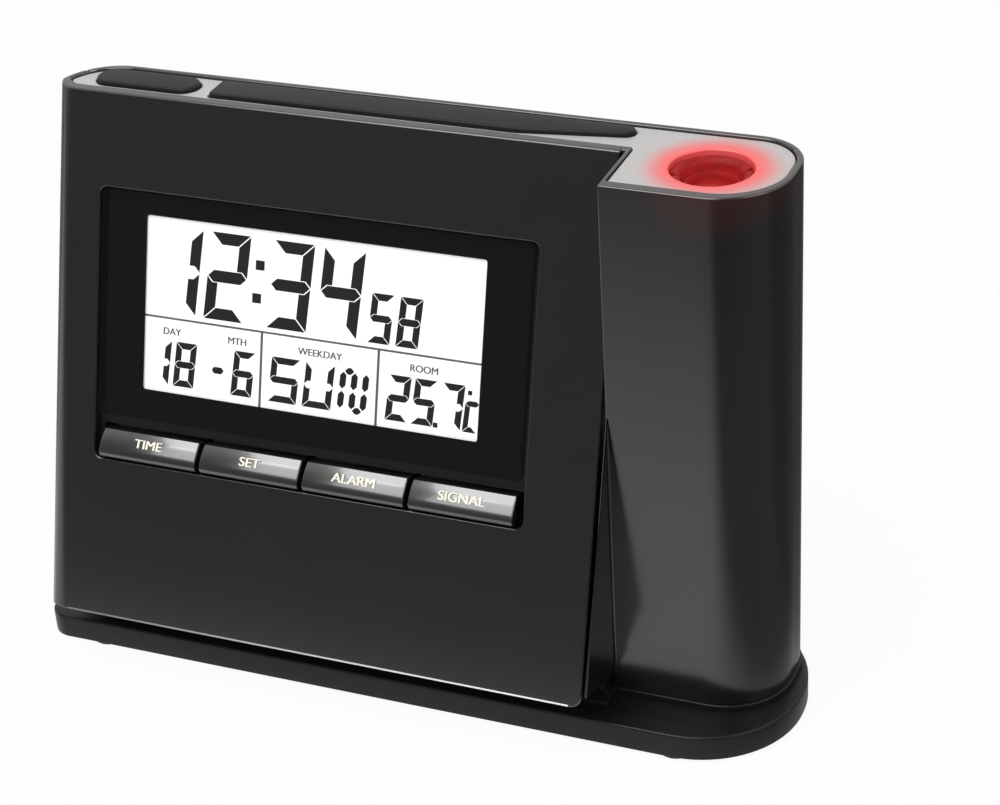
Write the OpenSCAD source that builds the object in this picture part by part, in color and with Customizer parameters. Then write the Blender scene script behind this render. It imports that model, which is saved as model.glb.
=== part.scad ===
// Bedside projection alarm clock, in millimetres.
// +Z is up and the display faces -Y. The origin is at the middle of the footprint, on the table.
// The body is a leaning wedge with an upright projector tower at its right end, on an oblong base plate.

/* [Base] */
// Length of the base plate
base_w = 149.6; // [146:0.2:156]
// Depth of the base plate
base_d = 40.7; // [39:0.1:44]
// Thickness of the base plate
base_t = 5; // [4.4:0.1:5.6]
// Height of the rubber feet below the base plate
foot_h = 0.8; // [0.6:0.1:1.4]

/* [Body] */
// Height of the top rim above the table
body_h = 109.4; // [107:0.2:116]
// Depth over all, from the foot of the front panel to the back of the base
total_d = 47.2; // [46:0.1:50]
// Wall thickness of the housing
wall = 2; // [1.6:0.1:2.2]
// Lean of the front panel from the vertical, in degrees
tilt = 17.2; // [16.5:0.1:18]
// Height of the lower edge of the front panel above the table
chin_z = 13; // [12:0.1:14]

/* [Tower] */
// Width of the projector tower
tower_w = 30.5; // [30:0.1:34]
// Depth of the projector tower
tower_d = 26.3; // [26:0.1:28]
// Radius of the front right edge of the tower
tower_r = 13; // [11:0.1:13.5]

/* [Display] */
// Width of the recess that holds the window and the buttons
recess_w = 87.2; // [86:0.1:88]
// Height of the recess, measured up the panel
recess_h = 52; // [51.6:0.1:52.4]
// Height of the window, measured up the panel
window_h = 43.5; // [43:0.1:43.8]
// Width of the liquid crystal glass
glass_w = 71.4; // [70:0.1:71.8]

/* [Controls] */
// Width of one function button
key_w = 20.3; // [19.6:0.1:20.5]
// Travel of a function button
key_travel = 0.6; // [0.4:0.1:0.7]
// Length of the snooze bar
bar_l = 80.6; // [76:0.1:81]
// Depth of the snooze bar
bar_d = 6.4; // [6:0.1:6.5]
// Height of the snooze bar above the rim
bar_rise = 0.4; // [0.3:0.1:0.9]

/* [Projector] */
// Radius of the opening over the lens
lens_hole_r = 7.3; // [7.2:0.05:7.6]
// Outer radius of the projector tube
tube_r = 9; // [8.8:0.1:9.4]

/* [Power] */
// Radius of one battery cell
cell_r = 7.1; // [6.9:0.05:7.1]
// Length of one battery cell
cell_l = 50.5; // [49.5:0.1:50.5]

/* [Hidden] */
$fn = 64;

// Colours
black = [0.06, 0.06, 0.06];
soft_black = [0.16, 0.16, 0.155];
gloss_black = [0.02, 0.02, 0.022];
silver = [0.72, 0.71, 0.70];
board_green = [0.08, 0.30, 0.16];
steel = [0.62, 0.62, 0.64];
glass_grey = [0.78, 0.80, 0.80];
lens_red = [0.75, 0.10, 0.08];
milk_white = [0.92, 0.92, 0.90];

// Levels of the base
slab_z = foot_h;
slab_top = slab_z + base_t;
plinth_h = 1.3;
body_z = slab_top + plinth_h + 0.1;

// Outline of the body seen from above
chin_y = -total_d / 2;
base_back = total_d / 2;
base_front = base_back - base_d;
left_shelf = 4.6;
right_shelf = 2.8;
body_l = -base_w / 2 + left_shelf;
body_r = base_w / 2 - right_shelf;
tower_l = body_r - tower_w;
body_b = base_back - 4.9;
tower_f = body_b - tower_d;
seam = 0.4;
wedge_r = tower_l + seam;
nose_front_r = 5;
nose_back_r = 10.9;
tower_back_r = 9.5;
neck_l = body_l + 3.7;
neck_f = chin_y + 10.6;
chin_drop = 0.205;
neck_top = chin_z - (neck_f - chin_y) * chin_drop;
part_y = body_b - 4.2;
part_gap = 0.1;

// Top rim and deck
rim = 1.2;
front_rim = 2.3;
side_rim = 0.9;
deck_fit = 0.15;
deck_t = 2;
deck_z = body_h - 0.4 - deck_t;
panel_top_y = round((chin_y + (body_h - chin_z) * tan(tilt)) * 100) / 100;
deck_mid_y = (panel_top_y + body_b) / 2;

// Front panel, measured in its own plane: x to the right, y up the panel, z outward
recess_x0 = body_l + 10.6;
recess_x1 = recess_x0 + recess_w;
recess_y0 = 31.4;
recess_y1 = recess_y0 + recess_h;
window_gap = 0.3;
window_x0 = recess_x0 + window_gap;
window_x1 = recess_x1 - 1.2;
window_y1 = recess_y1 - window_gap;
window_y0 = window_y1 - window_h;
window_t = 1.6;
frame_x0 = recess_x0 - 6;
frame_x1 = recess_x1 + 7;
frame_y0 = 24;
frame_y1 = 86;
glass_x0 = recess_x0 + 7.2;
glass_x1 = glass_x0 + glass_w;
glass_y0 = 43.6;
glass_y1 = 80.6;
board_z = -7.5;
board_t = 1.6;
post_xs = [glass_x0 - 5.1, glass_x1 + 5.5];
post_ys = [45, 79];
stake_xs = [frame_x0 + 3, frame_x1 - 3.1];
stake_ys = [27, 83.4];
key_post_xs = [-40, 10];
key_post_y = 26.6;

// Function buttons
key_count = 4;
key_pitch = 21.25;
key_x0 = recess_x0 + 1.6;
key_y = 34.5;
key_flange_z = -4.9;

// Snooze bar and light button
bar_x0 = body_l + 30.5;
bar_y = deck_mid_y + 0.53;
bar_taper = 9;
bar_tip = 1.7;
bar_flange = 0.6;
light_l = 20.8;
light_d = 6.3;
light_x = body_l + 16.65;
flange_z = body_h - 4;
flange_t = 1.3;
deck_board_z = body_h - 9.1;
deck_switch_xs = [light_x, -22, 22];

// Projector, on a vertical axis in the tower
lens_x = tower_l + 16.2;
lens_y = tower_f + 12.5;
shelf_z = 56.3;
tube_z = shelf_z + 4.2;
tube_top = body_h - 4.6;
tube_screw_xs = [lens_x - 9.3, lens_x + 9.3];
tube_screw_y = lens_y + 7;
wire_r = 0.8;
wire_x = tower_l + 3.1;
wire_y = 10;
wire_low = shelf_z - 3;
slide_gap = 0.3;
barrel_r = 4.9;
bore_r = barrel_r + slide_gap;

// Battery compartment and rear controls
tray_x0 = -53;
tray_x1 = 9;
tray_z0 = 17;
tray_z1 = 51;
tray_y = 0.7;
tray_wall = 1.5;
door_x0 = tray_x0 + 2.8;
door_x1 = tray_x1 - 2.8;
door_z0 = tray_z0 + 2.5;
door_z1 = tray_z1 - 2.5;
door_gap = 0.3;
door_t = 1.8;
pin_r = 0.7;
hinge_y = body_b - door_t / 2;
hinge_z = door_z0 + door_t / 2;
cell_y = body_b - 9.1;
cell_zs = [tray_z1 - 9.3, tray_z0 + 9.3];
tray_mid_z = (tray_z0 + tray_z1) / 2;
jack_x = 25;
jack_z = 24;
switch_z = 62;
reset_z = 77;
side_board_z = 53;
buzzer_x = -30;
buzzer_z = 76;

// Screws
shell_screw_spots = [[-61, 101], [36, 101], [-61, 24], [36, 22], [57, 22]];
base_screw_spots = [[-58, 0], [28, 0], [-15, 8], [57, 2]];
foot_spots = [[-63, -12.7], [55.3, -12.7], [-60, 15.6], [54.7, 17]];

// ---- Building blocks ----

// The bit outside a round corner. dx and dy point into the outline.
module corner_chip(x, y, dx, dy, r) {
    if (r > 0) difference() {
        translate([min(x - dx, x + dx * r), min(y - dy, y + dy * r)]) square(r + 1);
        translate([x + dx * r, y + dy * r]) circle(r);
    }
}

// A rectangle with its own radius at each corner: front left, front right, back right, back left.
module rounded_plan(x0, x1, y0, y1, fl = 0, fr = 0, br = 0, bl = 0) {
    difference() {
        translate([x0, y0]) square([x1 - x0, y1 - y0]);
        corner_chip(x0, y0, 1, 1, fl);
        corner_chip(x1, y0, -1, 1, fr);
        corner_chip(x1, y1, -1, -1, br);
        corner_chip(x0, y1, 1, -1, bl);
    }
}

module even_plan(x0, x1, y0, y1, r) {
    rounded_plan(x0, x1, y0, y1, r, r, r, r);
}

module block(x0, x1, y0, y1, z0, z1) {
    translate([x0, y0, z0]) cube([x1 - x0, y1 - y0, z1 - z0]);
}

module rod_z(x, y, z0, z1, r) {
    translate([x, y, z0]) cylinder(h = z1 - z0, r = r);
}

module rod_y(x, z, y0, y1, r) {
    translate([x, y0, z]) rotate([-90, 0, 0]) cylinder(h = y1 - y0, r = r);
}

module rod_x(y, z, x0, x1, r) {
    translate([x0, y, z]) rotate([0, 90, 0]) cylinder(h = x1 - x0, r = r);
}

// Children are drawn in the plane of the front panel.
module on_panel() {
    translate([0, chin_y, chin_z]) rotate([90 - tilt, 0, 0]) children();
}

// Children stand on the foot of the front panel and lean with it.
module leaning() {
    translate([0, chin_y, chin_z]) rotate([-tilt, 0, 0]) children();
}

// Everything above the underside that slopes back from the foot of the panel.
module above_chin(inset) {
    lift = inset * 1.02;
    low = neck_top + lift;
    translate([body_l - 5, 0, 0]) rotate([90, 0, 90]) linear_extrude(base_w)
        polygon([
            [chin_y - 5, chin_z + 5 * chin_drop + lift], [neck_f, low], [body_b + 5, low],
            [body_b + 5, body_h + 5], [chin_y - 5, body_h + 5]
        ]);
}

module wedge(inset, top) {
    intersection() {
        leaning() translate([0, 0, -30]) linear_extrude(body_h + 60)
            rounded_plan(body_l + inset, wedge_r - inset, inset, 70, fl = nose_front_r - inset);
        linear_extrude(top)
            rounded_plan(body_l + inset, wedge_r - inset, chin_y - 20, body_b - inset,
                bl = nose_back_r - inset);
        above_chin(inset);
    }
}

module tower(inset, top) {
    translate([0, 0, body_z + inset]) linear_extrude(top - body_z - inset)
        rounded_plan(tower_l + inset, body_r - inset, tower_f + inset, body_b - inset,
            fr = tower_r - inset, br = tower_back_r - inset);
}

// The foot of the wedge, and the short bridge that joins it to the tower.
module neck(inset) {
    translate([0, 0, body_z + inset]) linear_extrude(neck_top + 3 - body_z - inset) {
        rounded_plan(neck_l + inset, wedge_r - 1 - inset, neck_f + inset, body_b - inset,
            fl = 3, bl = 7);
        rounded_plan(wedge_r - 4, tower_l + 4, tower_f + 0.6 + inset, body_b - 0.1 - inset);
    }
}

module body_solid(inset, top) {
    wedge(inset, top);
    tower(inset, top);
    neck(inset);
}

// The outline of the wedge's back and of its back left corner
module back_plan(inset) {
    rounded_plan(body_l + inset, tower_l + 10, chin_y, body_b - inset, bl = nose_back_r - inset);
}

// The outline inside the rim, which is wider along the front
module deck_plan(inset) {
    front = front_rim - rim + inset;
    intersection() {
        rounded_plan(body_l + inset, tower_l + 10, panel_top_y + front, body_b + 20,
            fl = nose_front_r - inset);
        back_plan(inset);
    }
    rounded_plan(tower_l + side_rim - rim + inset, body_r - inset, tower_f + front, body_b - inset,
        fl = 0.6, fr = tower_r - inset - 0.5, br = tower_back_r - inset);
}

module stadium(x0, x1, y, d) {
    even_plan(x0, x1, y - d / 2, y + d / 2, d / 2 - 0.02);
}

// The bar is straight at its back. Its front edge runs back towards a round tip at the right end.
module bar_plan(grow) {
    left = bar_x0 - grow;
    front = bar_y - bar_d / 2 - grow;
    back = bar_y + bar_d / 2 + grow;
    radius = bar_tip + grow;
    tip_x = bar_x0 + bar_l + grow - radius;
    tip_y = back - radius;
    turn_x = tip_x + radius * sin(bar_taper);
    turn_y = tip_y - radius * cos(bar_taper);
    start_x = turn_x - (turn_y - front) / tan(bar_taper);
    turns = [for (k = [0:8]) bar_taper + k * (180 - bar_taper) / 8];
    tip = [for (a = turns) [tip_x + radius * sin(a), tip_y - radius * cos(a)]];
    difference() {
        polygon(concat([[left, front], [start_x, front]], tip, [[left, back]]));
        corner_chip(left, front, 1, 1, 1);
        corner_chip(left, back, 1, -1, 1);
    }
}

module light_plan(grow) {
    stadium(light_x - light_l / 2 - grow, light_x + light_l / 2 + grow, bar_y, light_d + 2 * grow);
}

// The empty space inside both shells.
module body_space() {
    body_solid(wall, deck_z - 0.05);
    translate([0, 0, deck_z - 0.1]) linear_extrude(5) deck_plan(rim);
    // Clearance for the end of the snooze bar across the partition
    block(wedge_r - wall - 1, tower_l + wall + 1, panel_top_y + 1.9, body_b - wall,
        flange_z - 1.3, deck_z);
    // Passage for the projector's wires
    rod_x(10, 72, wedge_r - wall - 1, tower_l + wall + 1, 2.5);
}

module front_half() {
    block(body_l - 5, body_r + 5, chin_y - 5, part_y, 0, body_h + 5);
}

module rear_half() {
    block(body_l - 5, body_r + 5, part_y + part_gap, body_b + 5, 0, body_h + 5);
}

module screw_z(x, y, z_head, z_tip, r_shank, r_head, head_h) {
    rod_z(x, y, z_head, z_tip, r_shank);
    rod_z(x, y, z_head - head_h, z_head, r_head);
}

// ---- Housing ----

module front_shell() color(soft_black) {
    difference() {
        union() {
            difference() {
                intersection() {
                    body_solid(0, body_h);
                    front_half();
                }
                body_space();
            }
            intersection() {
                union() {
                    for (p = shell_screw_spots) rod_y(p[0], p[1], chin_y, part_y - 0.1, 2.8);
                    for (p = base_screw_spots) rod_z(p[0], p[1], body_z + 0.5, 15.4, 3);
                    block(tower_l + 1, body_r - 1, tower_f + 1, part_y - 0.1, shelf_z, shelf_z + 2);
                }
                body_solid(1, deck_z);
                front_half();
            }
            on_panel() for (x = stake_xs, y = stake_ys) rod_z(x, y, -5, -1, 1.4);
        }
        on_panel() translate([0, 0, -4]) linear_extrude(6)
            even_plan(recess_x0, recess_x1, recess_y0, recess_y1, 1.5);
        for (p = shell_screw_spots) rod_y(p[0], p[1], 8, part_y + 1, 1.35);
        for (p = base_screw_spots) rod_z(p[0], p[1], body_z - 1, 14, 1.45);
        rod_z(lens_x, lens_y, shelf_z - 1, shelf_z + 3, 5);
        for (x = tube_screw_xs) rod_z(x, tube_screw_y, shelf_z - 1, shelf_z + 3, 1.05);
        rod_z(wire_x, wire_y, shelf_z - 1, shelf_z + 3, 1.2);
    }
}

module rear_shell() color(soft_black) {
    difference() {
        union() {
            difference() {
                intersection() {
                    body_solid(0, body_h);
                    rear_half();
                }
                body_space();
            }
            for (p = shell_screw_spots) rod_y(p[0], p[1], part_y + part_gap, body_b - 1, 3.4);
            block(tray_x0, tray_x1, tray_y, body_b - 1, tray_z0, tray_z1);
            for (x = [-48, 0, 28]) block(x - 2, x + 2, part_y - 2, body_b - 1, 97.3, deck_board_z - 0.1);
            for (p = [[17.8, 55], [32.2, 80.7]]) rod_y(p[0], p[1], 10.9, body_b - 1, 1.5);
        }
        for (p = shell_screw_spots) {
            rod_y(p[0], p[1], part_y - 1, body_b + 1, 1.5);
            rod_y(p[0], p[1], body_b - 1.8, body_b + 1, 3.1);
        }
        difference() {
            block(tray_x0 + tray_wall, tray_x1 - tray_wall, tray_y + tray_wall, body_b - wall,
                tray_z0 + tray_wall, tray_z1 - tray_wall);
            // Rib between the cells
            block(tray_x0, tray_x1, tray_y, cell_y - 2, tray_mid_z - 0.4, tray_mid_z + 0.4);
        }
        block(door_x0 - door_gap, door_x1 + door_gap, body_b - wall - 1, body_b + 1,
            door_z0 - door_gap, door_z1 + door_gap);
        rod_x(hinge_y, hinge_z, door_x0 - 1.6, door_x1 + 1.6, pin_r + 0.08);
        rod_y(jack_x, jack_z, body_b - wall - 1, body_b + 1, 4.2);
        block(jack_x - 4.2, jack_x + 4.2, body_b - wall - 1, body_b + 1, switch_z - 1.5, switch_z + 1.5);
        rod_y(jack_x, reset_z, body_b - wall - 1, body_b + 1, 2);
        for (i = [-2:2]) block(buzzer_x - 7, buzzer_x + 7, body_b - wall - 1, body_b + 1,
            buzzer_z + i * 3.2 - 0.7, buzzer_z + i * 3.2 + 0.7);
    }
}

module slab_plan(inset) {
    rounded_plan(-base_w / 2 + inset, base_w / 2 - inset, base_front + inset, base_back - inset,
        fl = 4.5 - inset, fr = 19.4 - inset, br = base_d / 2 - 0.1 - inset, bl = 14 - inset);
}

module base_plate() color(soft_black) {
    difference() {
        union() {
            translate([0, 0, slab_z]) linear_extrude(base_t) slab_plan(0.4);
            translate([0, 0, slab_z + 0.4]) linear_extrude(base_t - 0.8) slab_plan(0);
            translate([0, 0, slab_top - 0.5]) linear_extrude(plinth_h + 0.5) {
                rounded_plan(neck_l, wedge_r, neck_f, body_b, fl = 3, bl = 7);
                rounded_plan(tower_l - 0.4, body_r + 0.4, tower_f - 0.4, body_b,
                    fr = tower_r, br = tower_back_r);
            }
        }
        for (p = base_screw_spots) {
            rod_z(p[0], p[1], slab_z - 1, slab_z + 2.2, 3.1);
            rod_z(p[0], p[1], slab_z + 1, body_z + 1, 1.6);
        }
        for (p = foot_spots) rod_z(p[0], p[1], slab_z - 1, slab_z + 0.8, 3.7);
        translate([0, 0, slab_z - 1]) linear_extrude(3) {
            even_plan(-48, -22, -12, 18, 2);
            even_plan(-8, 20, -12, 18, 2);
        }
    }
}

module top_deck() color(silver) {
    difference() {
        translate([0, 0, deck_z]) linear_extrude(deck_t) deck_plan(rim + deck_fit);
        translate([0, 0, deck_z - 1]) linear_extrude(deck_t + 2) {
            bar_plan(0.25);
            light_plan(0.25);
        }
        rod_z(lens_x, lens_y, deck_z - 1, body_h + 1, lens_hole_r);
    }
}

module rubber_feet() color(black) {
    for (p = foot_spots) rod_z(p[0], p[1], 0, slab_z + 0.7, 3.6);
}

module shell_screws() color(steel) {
    for (p = shell_screw_spots) difference() {
        union() {
            rod_y(p[0], p[1], 8.5, body_b - 1.7, 1.25);
            rod_y(p[0], p[1], body_b - 1.75, body_b - 0.4, 2.7);
        }
        rod_y(p[0], p[1], body_b - 1.2, body_b, 0.9);
    }
}

module base_screws() color(steel) {
    for (p = base_screw_spots) screw_z(p[0], p[1], slab_z + 2.15, 13, 1.35, 2.8, 1.6);
}

// ---- Display ----

module display_window() color(gloss_black) {
    on_panel() translate([0, 0, -2]) linear_extrude(window_t)
        even_plan(window_x0, window_x1, window_y0, window_y1, 1.2);
}

module display_frame() color(black) {
    on_panel() difference() {
        union() {
            translate([0, 0, -4.1]) linear_extrude(2)
                even_plan(frame_x0, frame_x1, frame_y0, frame_y1, 2);
            translate([0, 0, -7.4]) linear_extrude(3.5)
                even_plan(glass_x0 - 1.9, glass_x1 + 1.9, glass_y0 - 1.9, glass_y1 + 1.9, 1);
            for (x = post_xs, y = post_ys) rod_z(x, y, -7.4, -4, 2.3);
            for (x = key_post_xs) rod_z(x, key_post_y, -7.5, -4, 2.2);
        }
        translate([0, 0, -8]) linear_extrude(7)
            even_plan(glass_x0 - 0.4, glass_x1 + 0.4, glass_y0 - 0.4, glass_y1 + 0.4, 0.5);
        translate([0, 0, -8]) linear_extrude(7)
            even_plan(key_x0 - 0.6, key_x0 + key_count * key_pitch + 0.2, 31.2, 38, 0.4);
        for (x = stake_xs, y = stake_ys) rod_z(x, y, -5, -1, 1.6);
        for (x = post_xs, y = post_ys) rod_z(x, y, -8, -4.6, 1.05);
        for (x = key_post_xs) rod_z(x, key_post_y, -8, -4.6, 1.05);
    }
}

module lcd_glass() color(glass_grey) {
    on_panel() block(glass_x0, glass_x1, glass_y0, glass_y1, -4.3, -2.4);
}

module backlight_panel() color(milk_white) {
    on_panel() block(glass_x0, glass_x1, glass_y0 + 3.4, glass_y1, -7.2, -4.4);
}

module contact_strip() color(glass_grey) {
    on_panel() block(glass_x0 + 6, glass_x1 - 6, glass_y0 + 0.6, glass_y0 + 2.8, -7.4, -4.4);
}

module main_board() color(board_green) {
    on_panel() difference() {
        block(frame_x0 + 5, recess_x1 + 0.6, glass_y0 - 1.7, frame_y1 - 2, board_z - board_t, board_z);
        for (x = post_xs, y = post_ys) rod_z(x, y, board_z - 2, board_z + 1, 1.25);
    }
}

module processor() color(black) {
    on_panel() block(-30, -18, 58, 70, board_z - board_t - 1.2, board_z - board_t - 0.05);
}

module crystal() color(steel) {
    on_panel() translate([0, 0, board_z - board_t - 1.5]) rod_x(66, 0, -12, -4, 1.4);
}

module board_screws() color(steel) {
    on_panel() {
        for (x = post_xs, y = post_ys) screw_z(x, y, board_z - board_t - 0.05, -5, 0.95, 1.9, 1.1);
        for (x = key_post_xs) screw_z(x, key_post_y, board_z - board_t - 0.15, -5, 0.95, 1.9, 1.1);
    }
}

// ---- Function buttons ----

function key_left(i) = key_x0 + i * key_pitch;

function key_middle(i) = key_left(i) + key_w / 2;

module key_board() color(board_green) {
    on_panel() difference() {
        block(key_x0 - 1, key_left(key_count) + 1, 24.2, 40.8, board_z - board_t - 0.1, board_z - 0.1);
        for (x = key_post_xs) rod_z(x, key_post_y, board_z - 3, board_z + 1, 1.25);
    }
}

module key_switches() color(black) {
    on_panel() for (i = [0:key_count - 1]) {
        block(key_middle(i) - 3, key_middle(i) + 3, key_y - 3, key_y + 3, board_z - 0.05, -6);
        rod_z(key_middle(i), key_y, -6.1, key_flange_z - key_travel - 0.2, 1.6);
    }
}

// A button with a sloping upper face, a short lower face and a flange behind the frame.
module function_button(i) color(gloss_black) {
    on_panel() translate([key_left(i), 0, 0]) {
        rotate([90, 0, 90]) linear_extrude(key_w) polygon([
            [31.8, key_flange_z + 0.3], [31.8, 0.2], [32.3, 0.9], [33.2, 1.3], [34.1, 1.15],
            [37, -0.9], [37.2, -1.3], [37.2, key_flange_z + 0.3]
        ]);
        block(0, key_w, 30.4, 38.8, key_flange_z, key_flange_z + 0.6);
    }
}

module time_button() function_button(0);

module set_button() function_button(1);

module alarm_button() function_button(2);

module signal_button() function_button(3);

// ---- Top controls ----

module deck_board() color(board_green) {
    block(-57.5, 32.4, panel_top_y + 3, part_y + 1.1, deck_board_z, deck_board_z + 1.6);
}

module deck_switches() color(black) {
    for (x = deck_switch_xs) {
        block(x - 3, x + 3, bar_y - 3, bar_y + 3, deck_board_z + 1.65, flange_z - 1.4);
        rod_z(x, bar_y, flange_z - 1.5, flange_z - 1.05, 1.6);
    }
}

module snooze_bar() color(gloss_black) {
    translate([0, 0, flange_z]) linear_extrude(flange_t) intersection() {
        bar_plan(bar_flange);
        back_plan(wall + 0.3);
    }
    translate([0, 0, flange_z]) linear_extrude(body_h + bar_rise - 0.4 - flange_z) bar_plan(0);
    translate([0, 0, flange_z]) linear_extrude(body_h + bar_rise - flange_z) bar_plan(-0.6);
}

module light_button() color(gloss_black) {
    translate([0, 0, flange_z]) linear_extrude(flange_t) intersection() {
        light_plan(bar_flange);
        back_plan(wall + 0.3);
    }
    translate([0, 0, flange_z]) linear_extrude(body_h + bar_rise - 0.4 - flange_z) light_plan(0);
    translate([0, 0, flange_z]) linear_extrude(body_h + bar_rise - flange_z) light_plan(-0.6);
}

// ---- Projector ----

module projector_tube() color(black) {
    difference() {
        union() {
            rod_z(lens_x, lens_y, tube_z - 2, tube_top, tube_r);
            intersection() {
                block(lens_x - 11.4, lens_x + 11.4, lens_y - 10, part_y - 0.3, tube_z - 2, tube_z);
                tower(wall + 0.4, body_h);
            }
        }
        rod_z(lens_x, lens_y, tube_z - 3, tube_z + 32, 7.3);
        rod_z(lens_x, lens_y, tube_z + 30, tube_top + 1, bore_r);
        rod_z(lens_x, lens_y, tube_top - 2, tube_top + 1, lens_hole_r + 0.05);
        for (x = tube_screw_xs) rod_z(x, tube_screw_y, tube_z - 3, tube_z + 1, 1.2);
    }
}

module tube_screws() color(steel) {
    for (x = tube_screw_xs) {
        rod_z(x, tube_screw_y, shelf_z + 0.2, tube_z + 0.1, 0.95);
        rod_z(x, tube_screw_y, tube_z + 0.1, tube_z + 1.1, 1.7);
    }
}

module led_board() color(board_green) {
    rod_z(lens_x, lens_y, tube_z, tube_z + 1.5, 7.2);
}

module projector_led() color(lens_red) {
    rod_z(lens_x, lens_y, tube_z + 1.55, tube_z + 5, 2.5);
    translate([lens_x, lens_y, tube_z + 5]) sphere(2.5);
}

module condenser_lens() color(glass_grey) {
    intersection() {
        rod_z(lens_x, lens_y, tube_z + 10, tube_z + 18, 7.2);
        translate([lens_x, lens_y, tube_z + 5.5]) sphere(10);
    }
}

module image_panel() color(glass_grey) {
    rod_z(lens_x, lens_y, tube_z + 20, tube_z + 21.6, 7.2);
}

module rear_lens() color(glass_grey) {
    rod_z(lens_x, lens_y, body_h - 13, body_h - 11.2, 4);
}

module front_lens() color(lens_red) {
    intersection() {
        rod_z(lens_x, lens_y, body_h - 6.6, body_h - 3, 4);
        translate([lens_x, lens_y, body_h - 13]) sphere(9.2);
    }
}

module lens_barrel() color(black) {
    difference() {
        rod_z(lens_x, lens_y, body_h - 14.4, body_h - 3.2, barrel_r);
        rod_z(lens_x, lens_y, body_h - 15, body_h - 2, 4.1);
    }
}

module focus_ring() color(lens_red) {
    difference() {
        union() {
            rod_z(lens_x, lens_y, tube_top - 1.6, body_h - 1.2, lens_hole_r - 0.35);
            rod_z(lens_x, lens_y, tube_top + 0.4, deck_z - 0.3, lens_hole_r + 1.1);
        }
        rod_z(lens_x, lens_y, tube_top - 3, body_h, bore_r + 0.1);
    }
}

// ---- Power and rear controls ----

module battery_door() color(soft_black) {
    rod_x(hinge_y, hinge_z, door_x0 - 1.4, door_x1 + 1.4, pin_r);
    rod_x(hinge_y, hinge_z, door_x0, door_x1, door_t / 2);
    difference() {
        block(door_x0, door_x1, body_b - door_t, body_b, hinge_z, door_z1);
        for (i = [0:4]) {
            groove_z = door_z1 - 4 - i * 1.6;
            block(-29, -15, body_b - 0.5, body_b + 1, groove_z, groove_z + 0.8);
        }
    }
}

module cell(z, x0, turn) color(steel) {
    nub = 1.3;
    rod_x(cell_y, z, x0 + (turn ? nub : 0), x0 + cell_l - (turn ? 0 : nub), cell_r);
    rod_x(cell_y, z, turn ? x0 : x0 + cell_l - nub - 0.1, turn ? x0 + nub + 0.1 : x0 + cell_l, 2.6);
}

module upper_cell() cell(cell_zs[0], tray_x0 + 3, true);

module lower_cell() cell(cell_zs[1], tray_x1 - 3 - cell_l, false);

module spring(x, z) {
    for (i = [0:3]) translate([x + 0.9 + i * 1.4, cell_y, z]) rotate([0, 90, 0])
        rotate_extrude() translate([4.6, 0]) circle(0.45);
    rod_x(cell_y + 4.6, z, x + 0.5, x + 5.5, 0.4);
}

module contact_springs() color(steel) {
    spring(tray_x1 - 8.2, cell_zs[0]);
    spring(tray_x0 + 2.3, cell_zs[1]);
}

module contact_plates() color(steel) {
    for (x = [tray_x0 + 1.6, tray_x1 - 2.1], z = cell_zs)
        block(x, x + 0.5, cell_y - 5, cell_y + 5, z - 5, z + 5);
}

module dc_jack() color(black) {
    difference() {
        union() {
            block(jack_x - 4.5, jack_x + 4.5, 5, body_b - wall - 0.2, jack_z - 4.5, jack_z + 4.5);
            rod_y(jack_x, jack_z, body_b - wall - 0.3, body_b - 0.2, 3.9);
        }
        rod_y(jack_x, jack_z, 8, body_b + 1, 2.75);
    }
    rod_y(jack_x, jack_z, 7.5, body_b - 2, 0.8);
}

module side_board() color(board_green) {
    block(16, 34, wire_y - 0.7, wire_y + 0.8, side_board_z, 82.5);
}

module slide_switch() color(steel) {
    block(jack_x - 6.5, jack_x + 6.5, 10.85, body_b - wall - 0.2, switch_z - 3.5, switch_z + 3.5);
}

module switch_knob() color(gloss_black) {
    block(jack_x - 3.6, jack_x - 0.4, body_b - wall - 0.1, body_b + 0.9, switch_z - 1.2, switch_z + 1.2);
}

module reset_switch() color(black) {
    block(jack_x - 3, jack_x + 3, 10.85, part_y, reset_z - 3, reset_z + 3);
}

module reset_button() color(gloss_black) {
    rod_y(jack_x, reset_z, body_b - wall - 1.5, body_b - wall - 0.2, 2.7);
    rod_y(jack_x, reset_z, body_b - wall - 1, body_b + 0.3, 1.7);
}

module buzzer() color(black) {
    difference() {
        rod_y(buzzer_x, buzzer_z, body_b - wall - 4.3, body_b - wall - 0.2, 10.5);
        rod_y(buzzer_x, buzzer_z, body_b - wall - 1, body_b, 1.5);
    }
}

// ---- Radio receiver, sensor and wires ----

antenna_y = -8;
antenna_z = 18;

module antenna_rod() color(black) {
    rod_x(antenna_y, antenna_z, -45, 15, 4);
}

module antenna_coil() color([0.72, 0.40, 0.16]) {
    difference() {
        rod_x(antenna_y, antenna_z, -28, -2, 5.7);
        rod_x(antenna_y, antenna_z, -29, -1, 4.05);
    }
}

module antenna_holder() color(milk_white) {
    difference() {
        union() {
            for (x = [-38, 8])
                block(x - 2, x + 2, antenna_y - 2.7, antenna_y + 4.7, body_z + wall + 0.1, antenna_z);
            block(-38, 8, antenna_y - 2, antenna_y + 2, body_z + wall + 0.1, body_z + wall + 1.3);
        }
        rod_x(antenna_y, antenna_z, -60, 30, 4.1);
    }
}

module temperature_sensor() color(black) {
    rod_y(-57, 40, 11.5, body_b - wall - 0.1, 2.2);
}

module power_wires() color(lens_red) {
    for (x = [jack_x - 2, jack_x + 2]) rod_z(x, wire_y, jack_z + 4.55, side_board_z - 0.05, 0.7);
}

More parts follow.
